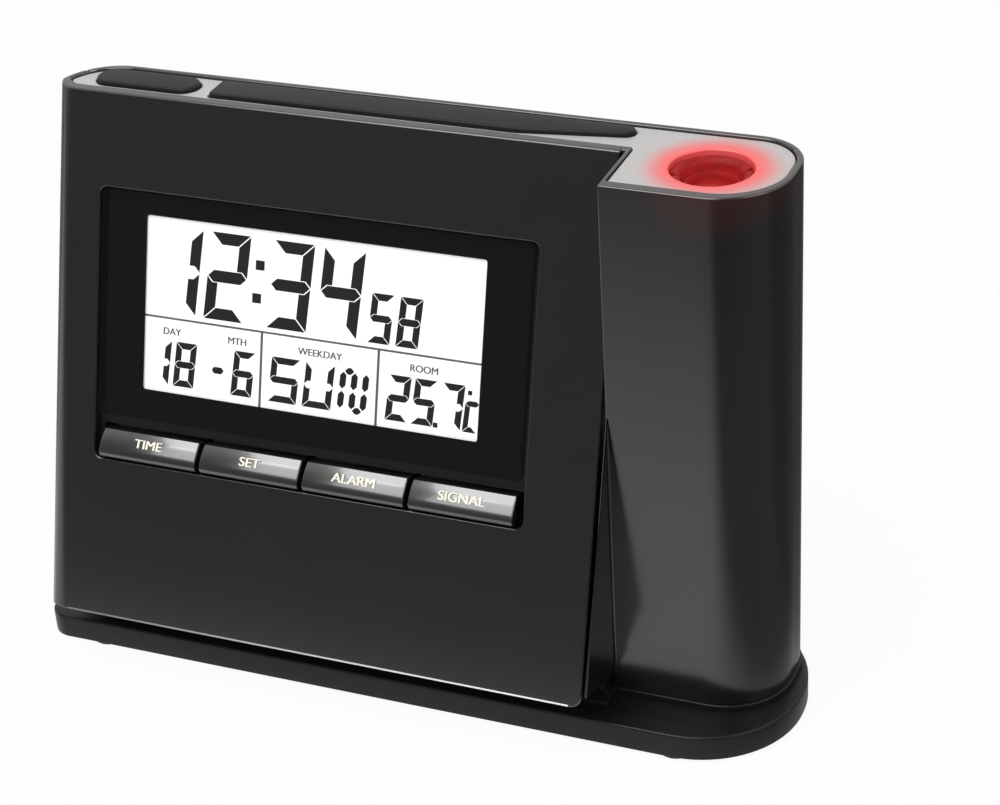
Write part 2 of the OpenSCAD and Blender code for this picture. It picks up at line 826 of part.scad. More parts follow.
module projector_wires() color(lens_red) {
    rod_x(wire_y, 72, 34.05, wire_x, wire_r);
    rod_z(wire_x, wire_y, wire_low, 72, wire_r);
    rod_x(wire_y, wire_low, wire_x, lens_x, wire_r);
    rod_y(lens_x, wire_low, lens_y, wire_y, wire_r);
    rod_z(lens_x, lens_y, wire_low, tube_z - 0.05, wire_r);
    translate([wire_x, wire_y, 72]) sphere(wire_r);
    for (x = [wire_x, lens_x]) translate([x, wire_y, wire_low]) sphere(wire_r);
    translate([lens_x, lens_y, wire_low]) sphere(wire_r);
}

front_shell();
rear_shell();
base_plate();
top_deck();
rubber_feet();
shell_screws();
base_screws();
display_window();
display_frame();
lcd_glass();
backlight_panel();
contact_strip();
main_board();
processor();
crystal();
board_screws();
key_board();
key_switches();
time_button();
set_button();
alarm_button();
signal_button();
deck_board();
deck_switches();
snooze_bar();
light_button();
projector_tube();
tube_screws();
led_board();
projector_led();
condenser_lens();
image_panel();
rear_lens();
front_lens();
lens_barrel();
focus_ring();
battery_door();
upper_cell();
lower_cell();
contact_springs();
contact_plates();
dc_jack();
side_board();
slide_switch();
switch_knob();
reset_switch();
reset_button();
buzzer();
antenna_rod();
antenna_coil();
antenna_holder();
temperature_sensor();
power_wires();
projector_wires();
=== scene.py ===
"""Projection alarm clock: finishes, soft-edged pieces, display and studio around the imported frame."""
import math

import bmesh
import bpy
from bpy.props import FloatProperty, FloatVectorProperty, PointerProperty
from mathutils import Matrix, Vector


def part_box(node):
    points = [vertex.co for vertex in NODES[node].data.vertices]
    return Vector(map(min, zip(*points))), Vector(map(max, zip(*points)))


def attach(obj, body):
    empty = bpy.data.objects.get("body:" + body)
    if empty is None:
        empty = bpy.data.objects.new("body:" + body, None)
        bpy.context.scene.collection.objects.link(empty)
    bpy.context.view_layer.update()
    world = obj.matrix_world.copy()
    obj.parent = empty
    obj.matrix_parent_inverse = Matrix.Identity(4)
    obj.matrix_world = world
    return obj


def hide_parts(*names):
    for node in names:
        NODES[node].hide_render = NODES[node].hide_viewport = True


bl_info = {
    "name": "Projection alarm clock",
    "version": (1, 0, 0),
    "blender": (4, 5, 0),
    "location": "3D View > Sidebar > Clock",
    "description": "Builds the finished clock around its packed frame",
    "category": "Object",
}

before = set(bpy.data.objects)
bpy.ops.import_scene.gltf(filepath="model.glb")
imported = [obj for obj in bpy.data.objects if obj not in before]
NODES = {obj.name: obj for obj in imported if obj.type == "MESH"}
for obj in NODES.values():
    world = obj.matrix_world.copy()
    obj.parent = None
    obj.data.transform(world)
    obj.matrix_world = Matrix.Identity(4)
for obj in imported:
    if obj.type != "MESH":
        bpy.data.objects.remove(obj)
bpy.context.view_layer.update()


def mm(value):
    """A length in metres from millimetres."""
    return value * 0.001


# The front panel leans back from its foot. Panel coordinates are x to the right, y up the panel, z outward.
PANEL_TILT = math.radians(17.2)
PANEL_FOOT_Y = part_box("front_shell")[0].y
PANEL_FOOT_Z = mm(13)
PANEL = Matrix.Translation((0, PANEL_FOOT_Y, PANEL_FOOT_Z)) @ Matrix.Rotation(math.pi / 2 - PANEL_TILT, 4, "X")
TO_PANEL = PANEL.inverted()

# The projector's axis stands in the middle of the focus ring.
LENS_AXIS = (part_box("focus_ring")[0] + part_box("focus_ring")[1]) / 2
LENS_AXIS.z = 0
TOWER_LEFT = mm(41.5)
TOWER_FRONT = mm(-7.6)
DECK_SIDE = mm(42.4)
RIM_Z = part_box("front_shell")[1].z
BACK_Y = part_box("rear_shell")[1].y

KEYS = ("time", "set", "alarm", "signal")

# Edges that turn by more degrees than this look sharp. What lies closer than NEAR to a face counts as on it.
SHARP = 35
NEAR = mm(0.02)
# Height of a capital letter, for a font size of 1.
CAPITAL = 0.72
# Most values of a noise lie between these.
NOISE_LOW, NOISE_HIGH = 0.28, 0.72


# ---- Settings a user would change ----

def length(name, description, default):
    """A length setting in metres."""
    return FloatProperty(name=name, description=description, default=default, unit="LENGTH", precision=5)


def colour(name, description, default):
    """A colour setting."""
    return FloatVectorProperty(name=name, description=description, default=default, size=3, subtype="COLOR",
                               min=0, max=1)


class ClockSizes(bpy.types.PropertyGroup):
    """Sizes of the finished pieces."""
    edge_round: length("Edge rounding", "Rounding of the housing's outer edges", mm(0.35))
    base_round: length("Base rounding", "Rounding of the base plate's upper edge", mm(0.5))
    bar_round: length("Bar rounding", "Rounding of the snooze bar's upper edge", mm(0.5))
    print_height: length("Print height", "Thickness of printed words and display segments", mm(0.03))
    time_height: length("Time height", "Height of the large display digits", mm(16.4))
    small_height: length("Small height", "Height of the small display digits", mm(8.5))
    label_height: length("Label height", "Height of the words on the keys", mm(1.75))


class ClockColours(bpy.types.PropertyGroup):
    """Colours of the finishes."""
    housing: colour("Housing", "Moulded housing", (0.0066, 0.0060, 0.0054))
    base: colour("Base", "Moulded base plate", (0.0075, 0.0072, 0.0066))
    deck: colour("Deck", "Silver paint of the top deck", (0.50, 0.49, 0.48))
    key: colour("Keys", "Glossy function keys", (0.011, 0.0095, 0.008))
    bar: colour("Bar", "Snooze bar and light button", (0.010, 0.010, 0.0095))
    label: colour("Labels", "Words on the keys", (0.80, 0.77, 0.66))
    lcd_ground: colour("Display ground", "Pale ground of the display", (0.90, 0.905, 0.89))
    segment: colour("Segments", "Dark display segments", (0.012, 0.012, 0.013))
    glow: colour("Projector light", "Red light of the projector", (0.36, 0.012, 0.012))
    board: colour("Boards", "Solder mask of the circuit boards", (0.015, 0.12, 0.045))


class ClockStage(bpy.types.PropertyGroup):
    """Camera and studio."""
    view_turn: FloatProperty(name="View turn", description="How far the camera stands to the right",
                             default=math.radians(23.51), subtype="ANGLE")
    view_drop: FloatProperty(name="View drop", description="How steeply the camera looks down",
                             default=math.radians(30.04), subtype="ANGLE")
    view_roll: FloatProperty(name="View roll", description="Roll of the camera", default=math.radians(-3.51),
                             subtype="ANGLE")
    view_distance: length("View distance", "From the camera to the point it looks at", 0.44928)
    view_point: FloatVectorProperty(name="View point", description="The point the camera looks at",
                                    default=(0.0219, -0.00735, 0.06447), unit="LENGTH", precision=5)
    lens: FloatProperty(name="Lens", description="Focal length on a sensor 36 mm wide", default=91.485)
    floor_size: length("Floor size", "Width of the floor", 6.0)
    key_power: FloatProperty(name="Key lamp", description="Power of the main lamp in watts", default=4.0)
    fill_power: FloatProperty(name="Fill lamp", description="Power of the fill lamp in watts", default=1.5)
    top_power: FloatProperty(name="Top lamp", description="Power of the softbox overhead in watts", default=2.2)


# ---- Mesh helpers ----

def link(name, mesh):
    """A new object at the origin that holds the mesh."""
    piece = bpy.data.objects.new(name, mesh)
    bpy.context.scene.collection.objects.link(piece)
    return piece


def solid(name, points, faces, sharp=SHARP):
    """A closed mesh from points and faces, with its normals outward and its edges sharp past an angle."""
    mesh = bpy.data.meshes.new(name)
    mesh.from_pydata([tuple(p) for p in points], [], faces)
    tidy(mesh, sharp)
    return link(name, mesh)


def tidy(mesh, sharp=SHARP):
    """Merges doubles, turns the faces outward and smooths the shading."""
    bm = bmesh.new()
    bm.from_mesh(mesh)
    bmesh.ops.remove_doubles(bm, verts=bm.verts, dist=1e-7)
    bmesh.ops.recalc_face_normals(bm, faces=bm.faces)
    bm.to_mesh(mesh)
    bm.free()
    smoothed(mesh, sharp)


def evaluated_mesh(piece):
    """A plain mesh of an object with its modifiers."""
    mesh = bpy.data.meshes.new_from_object(piece.evaluated_get(bpy.context.evaluated_depsgraph_get()))
    mesh.name = piece.name
    return mesh


def smoothed(mesh, sharp):
    """Sets smooth shading up to an angle."""
    mesh.shade_smooth()
    mesh.set_sharp_from_angle(angle=math.radians(sharp))


def applied(piece, sharp=SHARP):
    """Turns a piece and its modifiers into a plain mesh."""
    mesh = evaluated_mesh(piece)
    piece.modifiers.clear()
    piece.data = mesh
    smoothed(mesh, sharp)
    return piece


def discard(piece):
    """Removes a helper object and its mesh."""
    mesh = piece.data
    bpy.data.objects.remove(piece)
    bpy.data.meshes.remove(mesh)


def loft(name, rings, sharp=SHARP):
    """A closed solid through rings that all have the same number of points."""
    count = len(rings[0])
    points = [p for ring in rings for p in ring]
    faces = [tuple(range(count))[::-1]]
    for level in range(len(rings) - 1):
        low = level * count
        for k in range(count):
            after = (k + 1) % count
            faces.append((low + k, low + after, low + count + after, low + count + k))
    faces.append(tuple(range((len(rings) - 1) * count, len(rings) * count)))
    return solid(name, points, faces, sharp)


def rectangle(x0, x1, y0, y1, radii):
    """The corners of a rectangle with their radii: front left, front right, back right, back left."""
    return [(x, y, radius) for (x, y), radius in zip(((x0, y0), (x1, y0), (x1, y1), (x0, y1)), radii)]


def arc(centre, radius, start, turn, steps):
    """Points along an arc about a centre, from an angle on."""
    angles = [start + turn * step / steps for step in range(steps + 1)]
    return [centre + Vector((math.cos(angle), math.sin(angle))) * radius for angle in angles]


def outline(corners, inset, steps):
    """A polygon with round corners, moved inward. Each corner is x, y and a radius, in left turns."""
    points = []
    for k, (x, y, radius) in enumerate(corners):
        here = Vector((x, y))
        before = here - Vector(corners[k - 1][:2])
        after = Vector(corners[(k + 1) % len(corners)][:2]) - here
        first, second = (Vector((-way.y, way.x)).normalized() for way in (before, after))
        reach = max(radius, inset + mm(0.05))
        centre = here + (first + second) * reach / (1 + first.dot(second))
        start = math.atan2(-first.y, -first.x)
        turn = (math.atan2(-second.y, -second.x) - start) % (2 * math.pi)
        points += arc(centre, reach - inset, start, turn, steps)
    return points


def edge_levels(low, high, low_round, high_round, steps=5):
    """Heights and insets that round the lower and upper edge of a slab."""
    turns = [math.pi / 2 * k / steps for k in range(steps + 1)]
    lower = [(low + low_round * (1 - math.cos(turn)), low_round * (1 - math.sin(turn))) for turn in turns]
    upper = [(high - high_round * (1 - math.sin(turn)), high_round * (1 - math.cos(turn))) for turn in turns]
    return lower + upper


def slab(name, corners, low, high, low_round, high_round, sharp=35, steps=12):
    """A slab with a round-cornered outline and rounded edges."""
    rings = []
    for z, inset in edge_levels(low, high, low_round, high_round):
        rings.append([(x, y, z) for x, y in outline(corners, inset, steps)])
    return loft(name, rings, sharp)


def lathe(name, profile, centre, steps=96):
    """A solid of revolution about a vertical axis from a closed profile of radius and height."""
    points = []
    faces = []
    count = len(profile)
    for turn in range(steps):
        angle = 2 * math.pi * turn / steps
        for radius, z in profile:
            points.append((centre.x + radius * math.cos(angle), centre.y + radius * math.sin(angle), z))
    for turn in range(steps):
        here = turn * count
        there = (turn + 1) % steps * count
        for k in range(count):
            after = (k + 1) % count
            faces.append((here + k, there + k, there + after, here + after))
    return solid(name, points, faces)


def drill(name, radius, low, high, centre, steps):
    """A round cutter between two levels."""
    return lathe(name, [(0.0, low), (radius, low), (radius, high), (0.0, high)], centre, steps)


def box_mesh(name, low, high):
    """A plain block between two corners, used as a cutter or before its edges are rounded."""
    (x0, y0, z0), (x1, y1, z1) = low, high
    points = [(x, y, z) for z in (z0, z1) for x, y in ((x0, y0), (x1, y0), (x1, y1), (x0, y1))]
    faces = [(3, 2, 1, 0), (4, 5, 6, 7), (0, 1, 5, 4), (1, 2, 6, 5), (2, 3, 7, 6), (3, 0, 4, 7)]
    return solid(name, points, faces)


def rounded_edges(piece, width, segments=3, angle=40):
    """Rounds every edge of a piece that is sharper than an angle."""
    bevel = piece.modifiers.new("Edges", "BEVEL")
    bevel.width = width
    bevel.segments = segments
    bevel.limit_method = "ANGLE"
    bevel.angle_limit = math.radians(angle)
    bevel.use_clamp_overlap = True
    return applied(piece)


def combine(piece, other, operation):
    """Unites a piece with another mesh, or cuts the other out of it, and removes the other."""
    boolean = piece.modifiers.new("Combine", "BOOLEAN")
    boolean.operation = operation
    boolean.solver = "EXACT"
    boolean.object = other
    applied(piece)
    discard(other)


def joined(name, pieces):
    """One object from several, all of them at the origin."""
    bm = bmesh.new()
    for piece in pieces:
        bm.from_mesh(piece.data)
    mesh = bpy.data.meshes.new(name)
    bm.to_mesh(mesh)
    bm.free()
    for piece in pieces:
        discard(piece)
    tidy(mesh)
    return link(name, mesh)


def flattened(source, mesh):
    """Writes a mesh without doubles and without the edges inside its flat faces."""
    bm = bmesh.new()
    bm.from_mesh(source)
    bmesh.ops.remove_doubles(bm, verts=bm.verts, dist=2e-6)
    bmesh.ops.dissolve_limit(bm, angle_limit=math.radians(0.5), verts=bm.verts, edges=bm.edges)
    bm.to_mesh(mesh)
    bm.free()


def softened_copy(node, name, width, chosen, cutters=()):
    """A copy of a CAD node, cut by the cutters, whose chosen sharp edges are rounded."""
    piece = link(name, bpy.data.meshes.new(name))
    flattened(NODES[node].data, piece.data)
    for cutter in cutters:
        combine(piece, cutter, "DIFFERENCE")
        flattened(piece.data, piece.data)
    bm = bmesh.new()
    bm.from_mesh(piece.data)
    weight = bm.edges.layers.float.new("bevel_weight_edge")
    for edge in bm.edges:
        if len(edge.link_faces) == 2 and edge.calc_face_angle() > math.radians(SHARP) and chosen(edge):
            edge[weight] = 1.0
    bm.to_mesh(piece.data)
    bm.free()
    bevel = piece.modifiers.new("Edges", "BEVEL")
    bevel.width = width
    bevel.segments = 3
    bevel.limit_method = "WEIGHT"
    bevel.use_clamp_overlap = False
    return evened(applied(piece, 30))


def evened(piece):
    """Keeps flat faces evenly shaded right up to their rounded edges."""
    weighted = piece.modifiers.new("Normals", "WEIGHTED_NORMAL")
    weighted.mode = "FACE_AREA"
    weighted.keep_sharp = True
    mesh = evaluated_mesh(piece)
    piece.modifiers.clear()
    piece.data = mesh
    return piece


def coat(piece, look):
    """Gives a piece or a CAD node one of the clock's finishes."""
    piece.data.materials.clear()
    piece.data.materials.append(finish(look))


def place(piece, body, look, slot, *replaces):
    """Gives a finished piece its finish and its body, and hides the nodes it stands for. The slot is not used."""
    coat(piece, look)
    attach(piece, body)
    if replaces:
        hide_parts(*replaces)


def coat_nodes(look, *names):
    """Gives CAD nodes one of the clock's finishes."""
    for name in names:
        coat(NODES[name], look)


# ---- Nodes ----

def feed(tree, target, inputs):
    """Sets the inputs of a node, by name or number. A socket is linked, and any other value is set."""
    for name, value in inputs.items():
        if isinstance(value, bpy.types.NodeSocket):
            tree.links.new(value, target.inputs[name])
        else:
            target.inputs[name].default_value = value


def add_node(tree, kind, inputs, **settings):
    """A new node with its settings and inputs."""
    node = tree.nodes.new(kind)
    for name, value in settings.items():
        setattr(node, name, value)
    feed(tree, node, inputs)
    return node


def place_of(tree, output="Object"):
    """The place of the shaded point, on the piece's own axes."""
    return tree.nodes.new("ShaderNodeTexCoord").outputs[output]


def axis_values(tree, output="Object"):
    """The x, y and z coordinate of the shaded point."""
    return add_node(tree, "ShaderNodeSeparateXYZ", {"Vector": place_of(tree, output)}).outputs


def noise(tree, size, detail=3.0, roughness=0.5, stretch=(1, 1, 1)):
    """A noise whose grains are about a size across, on the piece's own coordinates."""
    mapping = add_node(tree, "ShaderNodeMapping", {"Vector": place_of(tree), "Scale": stretch})
    return add_node(tree, "ShaderNodeTexNoise", {
        "Vector": mapping.outputs["Vector"], "Scale": 1 / size, "Detail": detail, "Roughness": roughness,
    }).outputs["Fac"]


def ramp(tree, source, start, end, first, second, kind="SMOOTHSTEP"):
    """Maps a value from first at start to second at end, and holds both beyond."""
    return add_node(tree, "ShaderNodeMapRange", {
        "Value": source, "From Min": start, "From Max": end, "To Min": first, "To Max": second,
    }, interpolation_type=kind).outputs["Result"]


def spread(tree, source, low, high):
    """Maps a noise to a range of values around its own centre."""
    return ramp(tree, source, NOISE_LOW, NOISE_HIGH, low, high, "LINEAR")


def calculated(tree, operation, first, second):
    """A sum, product or the like of two values."""
    return add_node(tree, "ShaderNodeMath", {0: first, 1: second}, operation=operation).outputs["Value"]


def mixed(tree, factor, first, second, kind="FLOAT"):
    """A value between two, by a factor."""
    return add_node(tree, "ShaderNodeMix", {"Factor": factor, "A": first, "B": second},
                    data_type=kind).outputs["Result"]


def mixed_colours(tree, factor, first, second):
    """A colour between two, by a factor."""
    return mixed(tree, factor, (*first, 1), (*second, 1), "RGBA")


def bump(tree, source, depth, strength=0.5):
    """A bump from a height."""
    inputs = {"Height": source, "Distance": depth, "Strength": strength}
    return add_node(tree, "ShaderNodeBump", inputs).outputs["Normal"]


def mixed_shaders(tree, share, first, second):
    """Ends a material with two shaders, mixed by a share."""
    both = add_node(tree, "ShaderNodeMixShader", {"Fac": share, 1: first, 2: second})
    feed(tree, tree.nodes["Material Output"], {"Surface": both.outputs["Shader"]})


# ---- Materials ----

def scaled(tint, share):
    """A colour made lighter or darker."""
    return tuple(min(channel * share, 1.0) for channel in tint)


def blank_finish(name):
    """A new material with its node tree and its main shader."""
    material = bpy.data.materials.new(name)
    material.use_nodes = True
    tree = material.node_tree
    return material, tree, tree.nodes["Principled BSDF"]


def bare_finish(name):
    """A new material without a shader."""
    material, tree, shader = blank_finish(name)
    tree.nodes.remove(shader)
    return material, tree


def moulded(name, tint, roughness, grain=mm(0.12), depth=mm(0.01), uneven=0.12, specular=0.5, coat=0.0):
    """Moulded plastic: fine spark grain, slow colour drift and uneven gloss."""
    material, tree, shader = blank_finish(name)
    drift = noise(tree, mm(14), 2.0)
    fine = noise(tree, grain, 2.0, 0.6)
    shade = spread(tree, drift, 0.0, 1.0)
    feed(tree, shader, {
        "Base Color": mixed_colours(tree, shade, scaled(tint, 1 - uneven), scaled(tint, 1 + uneven)),
        "Roughness": spread(tree, fine, roughness * 0.88, roughness * 1.12),
        "Normal": bump(tree, fine, depth),
        "Specular IOR Level": specular, "Coat Weight": coat, "Coat Roughness": 0.08,
    })
    return material


def metal(name, tint, roughness, brushed):
    """Bright metal with fine scratches along one way."""
    material, tree, shader = blank_finish(name)
    scratches = noise(tree, mm(0.3), 4.0, 0.6, brushed)
    shade = spread(tree, scratches, 0.0, 1.0)
    feed(tree, shader, {
        "Base Color": mixed_colours(tree, shade, scaled(tint, 0.85), scaled(tint, 1.08)),
        "Roughness": spread(tree, scratches, roughness * 0.7, roughness * 1.3), "Metallic": 1.0,
    })
    return material


def lens_distance(tree):
    """The distance from the middle of the lens opening."""
    centre = (LENS_AXIS.x, LENS_AXIS.y, RIM_Z)
    inputs = {0: place_of(tree), 1: centre}
    return add_node(tree, "ShaderNodeVectorMath", inputs, operation="DISTANCE").outputs["Value"]


def housing_plastic(tint, glow):
    """Glossy moulded plastic with a faint painted red glow near the lens: emission that stands in for the projector's
    light.
    """
    material = moulded("housing_plastic", tint, 0.18, mm(0.16), mm(0.004), 0.10, 0.88)
    tree = material.node_tree
    # Painted glow: the housing emits a little red near the lens, in place of the projector's light falling on it.
    painted_glow_spill = ramp(tree, lens_distance(tree), mm(12.4), mm(15.5), 0.05, 0.0)
    feed(tree, tree.nodes["Principled BSDF"], {"Emission Color": (*glow, 1), "Emission Strength": painted_glow_spill})
    return material


def silver_paint(tint, glow):
    """Silver paint with fine flakes, and a painted red glow near the lens, in its colour and by emission, that stands
    in for the projector's light.
    """
    material, tree, shader = blank_finish("silver_paint")
    flakes = noise(tree, mm(0.28), 3.0, 0.7)
    drift = noise(tree, mm(9), 2.0)
    shade = spread(tree, flakes, 0.0, 1.0)
    paint = mixed_colours(tree, shade, scaled(tint, 0.80), scaled(tint, 1.12))
    distance = lens_distance(tree)
    # Painted glow: near the lens the paint turns red and emits, standing in for the projector's light on the deck.
    near = ramp(tree, distance, mm(7.4), mm(13.5), 0.97, 0.0)
    feed(tree, shader, {
        "Base Color": mixed(tree, near, paint, (0.80, 0.13, 0.13, 1), "RGBA"), "Metallic": 0.35,
        "Emission Color": (*glow, 1), "Emission Strength": ramp(tree, distance, mm(7.2), mm(10), 0.25, 0.0),
        "Roughness": spread(tree, drift, 0.42, 0.5), "Normal": bump(tree, flakes, mm(0.01), 0.4),
    })
    return material


def glowing(name, tint, strength, roughness, specular=0.15, dark=0.6):
    """Red plastic or glass that glows evenly by emission, with faint darker streaks across it: on the ring, barrel
    and lens a painted glow in place of the projector's light from below, on the emitter its own light.
    """
    material, tree, shader = blank_finish(name)
    streaks = noise(tree, mm(1.2), 2.0, 0.5, (0.35, 1, 1))
    shade = spread(tree, streaks, 0.0, 1.0)
    feed(tree, shader, {
        "Base Color": (*scaled(tint, 0.3), 1),
        "Emission Color": mixed_colours(tree, shade, scaled(tint, dark), tint),
        "Emission Strength": strength, "Roughness": roughness, "Specular IOR Level": specular,
    })
    return material


def trim_paint():
    """Satin silver of the thin line along the panel's foot, with a painted highlight: the colour dulls towards the
    left and brightens towards the right.
    """
    material, tree, shader = blank_finish("trim_paint")
    # Painted highlight: the ramp along X brightens the line to the right, where its edge catches the light.
    share = ramp(tree, axis_values(tree)["X"], mm(-70), mm(40), 0.0, 1.0)
    fine = noise(tree, mm(0.3), 3.0)
    feed(tree, shader, {
        "Base Color": mixed_colours(tree, share, (0.16, 0.157, 0.15), (0.80, 0.79, 0.77)),
        "Roughness": spread(tree, fine, 0.4, 0.5),
    })
    return material


def clear_pane(name):
    """Thin clear acrylic: it mirrors by angle and lets the rest through. Its far face mirrors as the near one."""
    material, tree = bare_finish(name)
    index = 1.3
    far = tree.nodes.new("ShaderNodeNewGeometry").outputs["Backfacing"]
    share = add_node(tree, "ShaderNodeFresnel", {"IOR": mixed(tree, far, index, 1 / index)})
    through = tree.nodes.new("ShaderNodeBsdfTransparent")
    mirror = add_node(tree, "ShaderNodeBsdfGlossy", {"Roughness": 0.03})
    mixed_shaders(tree, share.outputs["Fac"], through.outputs["BSDF"], mirror.outputs["BSDF"])
    return material


def lcd_ground(tint):
    """Pale reflective ground of the display with a very fine grid, and a faint painted glow by emission that
    brightens it.
    """
    material, tree, shader = blank_finish("lcd_ground")
    grid = add_node(tree, "ShaderNodeTexChecker", {
        "Vector": place_of(tree), "Scale": 1 / mm(0.3), "Color1": (*scaled(tint, 0.97), 1), "Color2": (*tint, 1),
    }).outputs["Color"]
    # Painted light: the ground emits faintly so that it shows brighter than the lamps make it.
    feed(tree, shader, {"Base Color": grid, "Emission Color": grid, "Emission Strength": 0.18,
                        "Roughness": 0.5, "Specular IOR Level": 0.1})
    return material


def circuit_board(name, tint):
    """Solder mask with copper tracks under it."""
    material, tree, shader = blank_finish(name)
    tracks = add_node(tree, "ShaderNodeTexBrick", {
        "Vector": place_of(tree), "Scale": 1 / mm(6), "Mortar Size": 0.03, "Color1": (*tint, 1),
        "Color2": (*scaled(tint, 0.8), 1), "Mortar": (*scaled(tint, 1.9), 1),
    })
    feed(tree, shader, {"Base Color": tracks.outputs["Color"], "Roughness": 0.35,
                        "Normal": bump(tree, tracks.outputs["Fac"], mm(0.03), 0.3)})
    return material


def cell_sleeve():
    """Printed sleeve of a cell: a copper-coloured third and a dark rest, without words."""
    material, tree, shader = blank_finish("cell_sleeve")
    rest = calculated(tree, "GREATER_THAN", axis_values(tree)["X"], mm(-32))
    scuffs = noise(tree, mm(2), 4.0)
    feed(tree, shader, {
        "Base Color": mixed_colours(tree, rest, (0.55, 0.24, 0.09), (0.03, 0.03, 0.035)),
        "Metallic": 0.6, "Roughness": spread(tree, scuffs, 0.22, 0.42),
    })
    return material


def make_finishes(colours):
    """All materials of the clock, by name."""
    return {
        "housing": housing_plastic(colours.housing, colours.glow),
        "base": moulded("base_plastic", colours.base, 0.34, mm(0.16), mm(0.012), 0.12, 0.24),
        "frame": moulded("frame_plastic", (0.004, 0.004, 0.004), 0.5, mm(0.2), mm(0.01), 0.1, 0.3),
        "mask": moulded("window_print", (0.002, 0.002, 0.002), 0.6, mm(0.5), 0.0, 0.05, 0.05),
        "bar": moulded("bar_plastic", colours.bar, 0.5, mm(0.18), mm(0.02), 0.18, 0.2),
        "key": moulded("key_plastic", colours.key, 0.20, mm(0.3), mm(0.003), 0.10, 0.95, 0.8),
        "black": moulded("inner_plastic", (0.012, 0.012, 0.012), 0.5),
        "rubber": moulded("foot_rubber", (0.010, 0.010, 0.010), 0.75, mm(0.25), mm(0.02), 0.2, 0.3),
        "milky": moulded("milky_plastic", (0.78, 0.78, 0.74), 0.45, mm(0.3), mm(0.01), 0.05),
        "elastomer": moulded("elastomer", (0.30, 0.30, 0.29), 0.6),
        "wire": moulded("wire_sleeve", (0.42, 0.02, 0.015), 0.45),
        "ferrite": moulded("ferrite", (0.02, 0.02, 0.021), 0.6, mm(0.4), mm(0.03), 0.2),
        "label": moulded("label_print", colours.label, 0.5, mm(0.25), mm(0.004), 0.06),
        "segment": moulded("segment_ink", colours.segment, 0.4, mm(0.3), mm(0.002), 0.05, 0.2),
        "caption": moulded("caption_ink", (0.10, 0.10, 0.10), 0.5, mm(0.3), mm(0.002), 0.05, 0.2),
        "steel": metal("bright_steel", (0.62, 0.62, 0.63), 0.30, (8, 1, 1)),
        "copper": metal("enamelled_copper", (0.70, 0.32, 0.14), 0.35, (1, 1, 8)),
        "deck": silver_paint(colours.deck, colours.glow),
        # Painted glow: the ring finish, also on the lens barrel, and the lens finish emit in place of the projector's
        # light shining through them.
        "ring": glowing("lit_ring", colours.glow, 0.78, 0.5),
        "lens": glowing("lit_lens", colours.glow, 0.85, 0.4),
        "led": glowing("red_emitter", colours.glow, 1.0, 0.15, 0.2, 0.7),
        "trim": trim_paint(),
        "pane": clear_pane("clear_acrylic"),
        "optic": clear_pane("clear_lens"),
        "lcd": lcd_ground(colours.lcd_ground),
        "board": circuit_board("green_board", colours.board),
        "dark_board": circuit_board("black_board", (0.004, 0.004, 0.004)),
        "cell": cell_sleeve(),
    }


FINISHES = {}


def finish(name):
    """One of the clock's materials, made the first time that any is asked for."""
    if not FINISHES:
        FINISHES.update(make_finishes(bpy.context.scene.clock_colours))
    return FINISHES[name]


# ---- Geometry node trees ----

def begin_tree(name, inputs):
    """A geometry node tree with named float inputs. Returns the tree, its group input and its output."""
    tree = bpy.data.node_groups.new(name, "GeometryNodeTree")
    tree.interface.new_socket("Geometry", in_out="INPUT", socket_type="NodeSocketGeometry")
    tree.interface.new_socket("Geometry", in_out="OUTPUT", socket_type="NodeSocketGeometry")
    for label, default in inputs:
        socket = tree.interface.new_socket(label, in_out="INPUT", socket_type="NodeSocketFloat")
        socket.default_value = default
    return tree, tree.nodes.new("NodeGroupInput"), tree.nodes.new("NodeGroupOutput")


def end_tree(tree, last, out, material):
    """Realizes what the tree made, gives it its material and ends the tree."""
    real = add_node(tree, "GeometryNodeRealizeInstances", {"Geometry": last})
    coat = add_node(tree, "GeometryNodeSetMaterial", {"Geometry": real.outputs["Geometry"], "Material": material})
    feed(tree, out, {"Geometry": coat.outputs["Geometry"]})


def grown(name, points, tree):
    """A plain mesh that a tree makes from a list of points."""
    mesh = bpy.data.meshes.new(name)
    mesh.from_pydata([tuple(p) for p in points], [], [])
    piece = link(name, mesh)
    piece.modifiers.new("Build", "NODES").node_group = tree
    return applied(piece)


def copies(name, pattern, points, material):
    """Copies of a pattern piece, modelled at the origin, at every point. The pattern is removed."""
    tree, start, out = begin_tree(name + "_tree", ())
    source = add_node(tree, "GeometryNodeObjectInfo", {"Object": pattern})
    spread_out = add_node(tree, "GeometryNodeInstanceOnPoints", {
        "Points": start.outputs["Geometry"], "Instance": source.outputs["Geometry"]})
    end_tree(tree, spread_out.outputs["Instances"], out, material)
    piece = grown(name, points, tree)
    discard(pattern)
    return piece


# ---- Housing, base and deck ----

def on_face(axis, level):
    """A test for the edges of the face at the end of an axis."""
    return lambda edge: all(vert.co[axis] > level - NEAR for vert in edge.verts)


def on_outside(edge):
    """True for an edge of the housing's outer skin that a hand would feel."""
    ends = [vert.co for vert in edge.verts]
    local = [TO_PANEL @ co for co in ends]
    if all(abs(p.z) < NEAR for p in local) or on_face(1, BACK_Y)(edge):
        return True
    if on_face(2, RIM_Z)(edge):
        return not all(abs(co.x - DECK_SIDE) < mm(0.05) for co in ends)
    if all(abs(co.y - TOWER_FRONT) < NEAR and co.x < TOWER_LEFT + mm(1) for co in ends):
        return True
    return all(p.z > -mm(2.3) and p.y < mm(0.1) for p in local)


